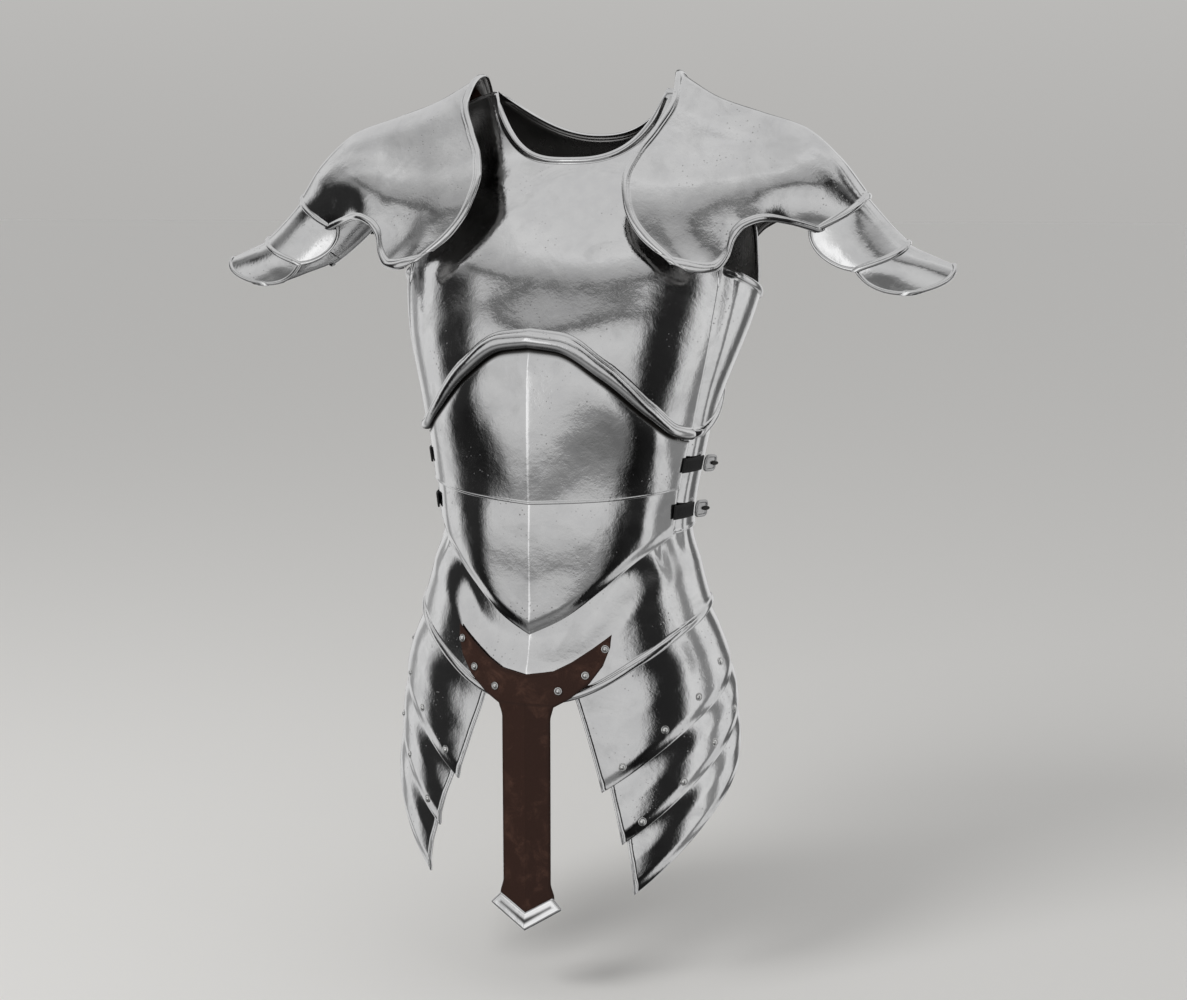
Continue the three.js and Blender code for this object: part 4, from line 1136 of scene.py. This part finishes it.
def make_shoulder_pads():
    """Pad between the shoulder seam and the cap above it."""
    even = np.linspace(0, 1, 15)
    u, v = np.meshgrid(even, even, indexing="ij")
    turn = lerp(*PAD["turn"], u)
    z = lerp(*PAD["level"], v) - shoulder_fall(body["wide"](0) * sin_deg(turn))
    seat = skin(180 - turn, z) + skin_normal(180 - turn, z) * PAD["gap"]
    s, w = lerp(*PAD["along"], u), lerp(*PAD["round"], v)
    step = 0.01
    outward = cap_point(s + step, w) - cap_point(s - step, w)
    back = cap_point(s, w - step) - cap_point(s, w + step)
    roof = cap_point(s, w) - unit(np.cross(outward, back)) * PLATE
    for pad in add_pair("shoulder_pad", BROWN_HIDE, *between(roof, seat)):
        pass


make_breastplate()
make_upper_back()
make_waist_and_skirt()
make_tassets()
make_yoke()
make_strap()
make_side_straps()
make_pauldrons()
make_shoulder_pads()


# Studio: pale floor, soft surroundings with dark and pale cards, one soft key light
def make_floor():
    mesh = bpy.data.meshes.new("studio_floor")
    ways = ((-1, -1), (1, -1), (1, 1), (-1, 1))
    mesh.from_pydata([(x * FLOOR_REACH, y * FLOOR_REACH, -FLOOR_DROP) for x, y in ways], [], [(0, 1, 2, 3)])
    floor = link("studio_floor", mesh)
    paper = bpy.data.materials.new("floor_paper")
    paper.use_nodes = True
    shader = paper.node_tree.nodes["Principled BSDF"].inputs
    shader["Base Color"].default_value = FLOOR_PAPER
    shader["Roughness"].default_value = 0.9
    mesh.materials.append(paper)
    floor.visible_glossy = False


def make_camera():
    lens = bpy.data.cameras.new("photo_camera")
    lens.sensor_width = CAMERA["sensor"]
    lens.lens = CAMERA["lens"]
    bpy.context.scene.camera = link("photo_camera", lens, CAMERA["place"], CAMERA["tilt"], CAMERA["yaw"])


# Light by height angle, in front of the object and beyond its sides
FRONT_LIGHT = [
    (-90, 0.03), (-66, 0.05), (-54, 0.20), (-40, 0.34), (-24, 0.16), (-16, 0.26),
    (-11, 0.54), (-5, 0.62), (6, 0.66), (22, 0.63), (28, 0.52), (33, 0.12),
    (38, 0.38), (46, 0.47), (53, 0.58), (58, 0.72), (66, 0.66), (90, 0.65),
]
SIDE_LIGHT = [
    (-90, 0.03), (-66, 0.05), (-50, 0.40), (-30, 0.64), (0, 0.74), (40, 0.70), (60, 0.66), (90, 0.66),
]
FRONT_TURN = -10.0
FRONT_SPREAD = (55.0, 80.0)
HORIZON = (-2.0, 22.0)

# Soft cards: direction round from the front, half width, softness, lowest and highest angle, light kept
CARD_EDGE = (-12, 6)
CARDS = records("turn half soft low high keep", [
    (57, 9, 12, -50, 36, 0.03),
    (43, 3, 5, 30, 46, 0.10),
    (68, 3, 6, 30, 50, 0.12),
    (86, 2, 4, 18, 54, 0.4),
    (-73, 8, 12, -46, 32, 0.04),
    (102, 4, 8, -40, 30, 0.35),
    (150, 5, 10, -46, 34, 0.2),
    (-160, 6, 10, -46, 40, 0.12),
    (-118, 3, 8, -40, 30, 0.5),
    (-15, 6, 8, -20, 6, 1.7),
    (-20, 2, 4, 6, 26, 1.7),
])


def height_ramp(nodes, lift, stops):
    """Light against the height angle through a table of stops."""
    made = nodes.add("ShaderNodeValToRGB", {"Fac": nodes.times(lift, 1 / 180, 0.5)})["Color"]
    colours = made.node.color_ramp
    colours.interpolation = "EASE"
    while len(colours.elements) < len(stops):
        colours.elements.new(0.5)
    for mark, (angle, light) in zip(colours.elements, stops):
        mark.position = angle / 180 + 0.5
        mark.color = grey(light)
    return made


def make_world():
    """Soft grey surroundings that change with the height angle, with soft-edged dark cards around the
    object and two pale cards before it."""
    world = bpy.data.worlds.new("studio")
    bpy.context.scene.world = world
    world.use_nodes = True
    nodes = Nodes(world.node_tree)
    way = nodes.add("ShaderNodeTexCoord")["Generated"]
    x, y, z = nodes.add("ShaderNodeSeparateXYZ", {"Vector": way})
    turn = nodes.math("DEGREES", nodes.math("ARCTAN2", x, nodes.times(y, -1.0)))
    lift = nodes.math("DEGREES", nodes.math("ARCSINE", z))
    away_from = lambda angle: nodes.math("ABSOLUTE", nodes.math("SUBTRACT", turn, angle))
    front, side = (height_ramp(nodes, lift, stops) for stops in (FRONT_LIGHT, SIDE_LIGHT))
    tone = nodes.mix(nodes.ramp(away_from(FRONT_TURN), *FRONT_SPREAD), front, side)
    light = nodes.add("ShaderNodeSeparateColor", {"Color": tone})[0]
    for card in CARDS:
        rise = lambda edge: nodes.ramp(lift, *(card[edge] + step for step in CARD_EDGE))
        wide = nodes.rest(nodes.ramp(away_from(card["turn"]), card["half"], card["half"] + card["soft"]))
        tall = nodes.times(rise("low"), nodes.rest(rise("high")))
        shade = nodes.times(nodes.times(wide, tall), card["keep"] - 1, 1.0)
        light = nodes.times(light, shade)
    seen = nodes.add("ShaderNodeLightPath")["Is Camera Ray"]
    far = nodes.mix(nodes.ramp(lift, *HORIZON), FLOOR_FAR, BACKDROP)
    tone = nodes.add("ShaderNodeCombineColor", {0: light, 1: light, 2: light})[0]
    nodes.put(nodes.mix(seen, tone, far), world.node_tree.nodes["Background"].inputs["Color"])


def make_key_light():
    lamp = bpy.data.lights.new("key", "AREA")
    lamp.shape = "DISK"
    lamp.size = KEY_LIGHT["size"]
    lamp.energy = KEY_LIGHT["power"]
    link("key", lamp, KEY_LIGHT["place"], KEY_LIGHT["tilt"], KEY_LIGHT["yaw"]).visible_glossy = False


make_floor()
make_camera()
make_world()
make_key_light()
bpy.context.scene.view_settings.view_transform = "Standard"
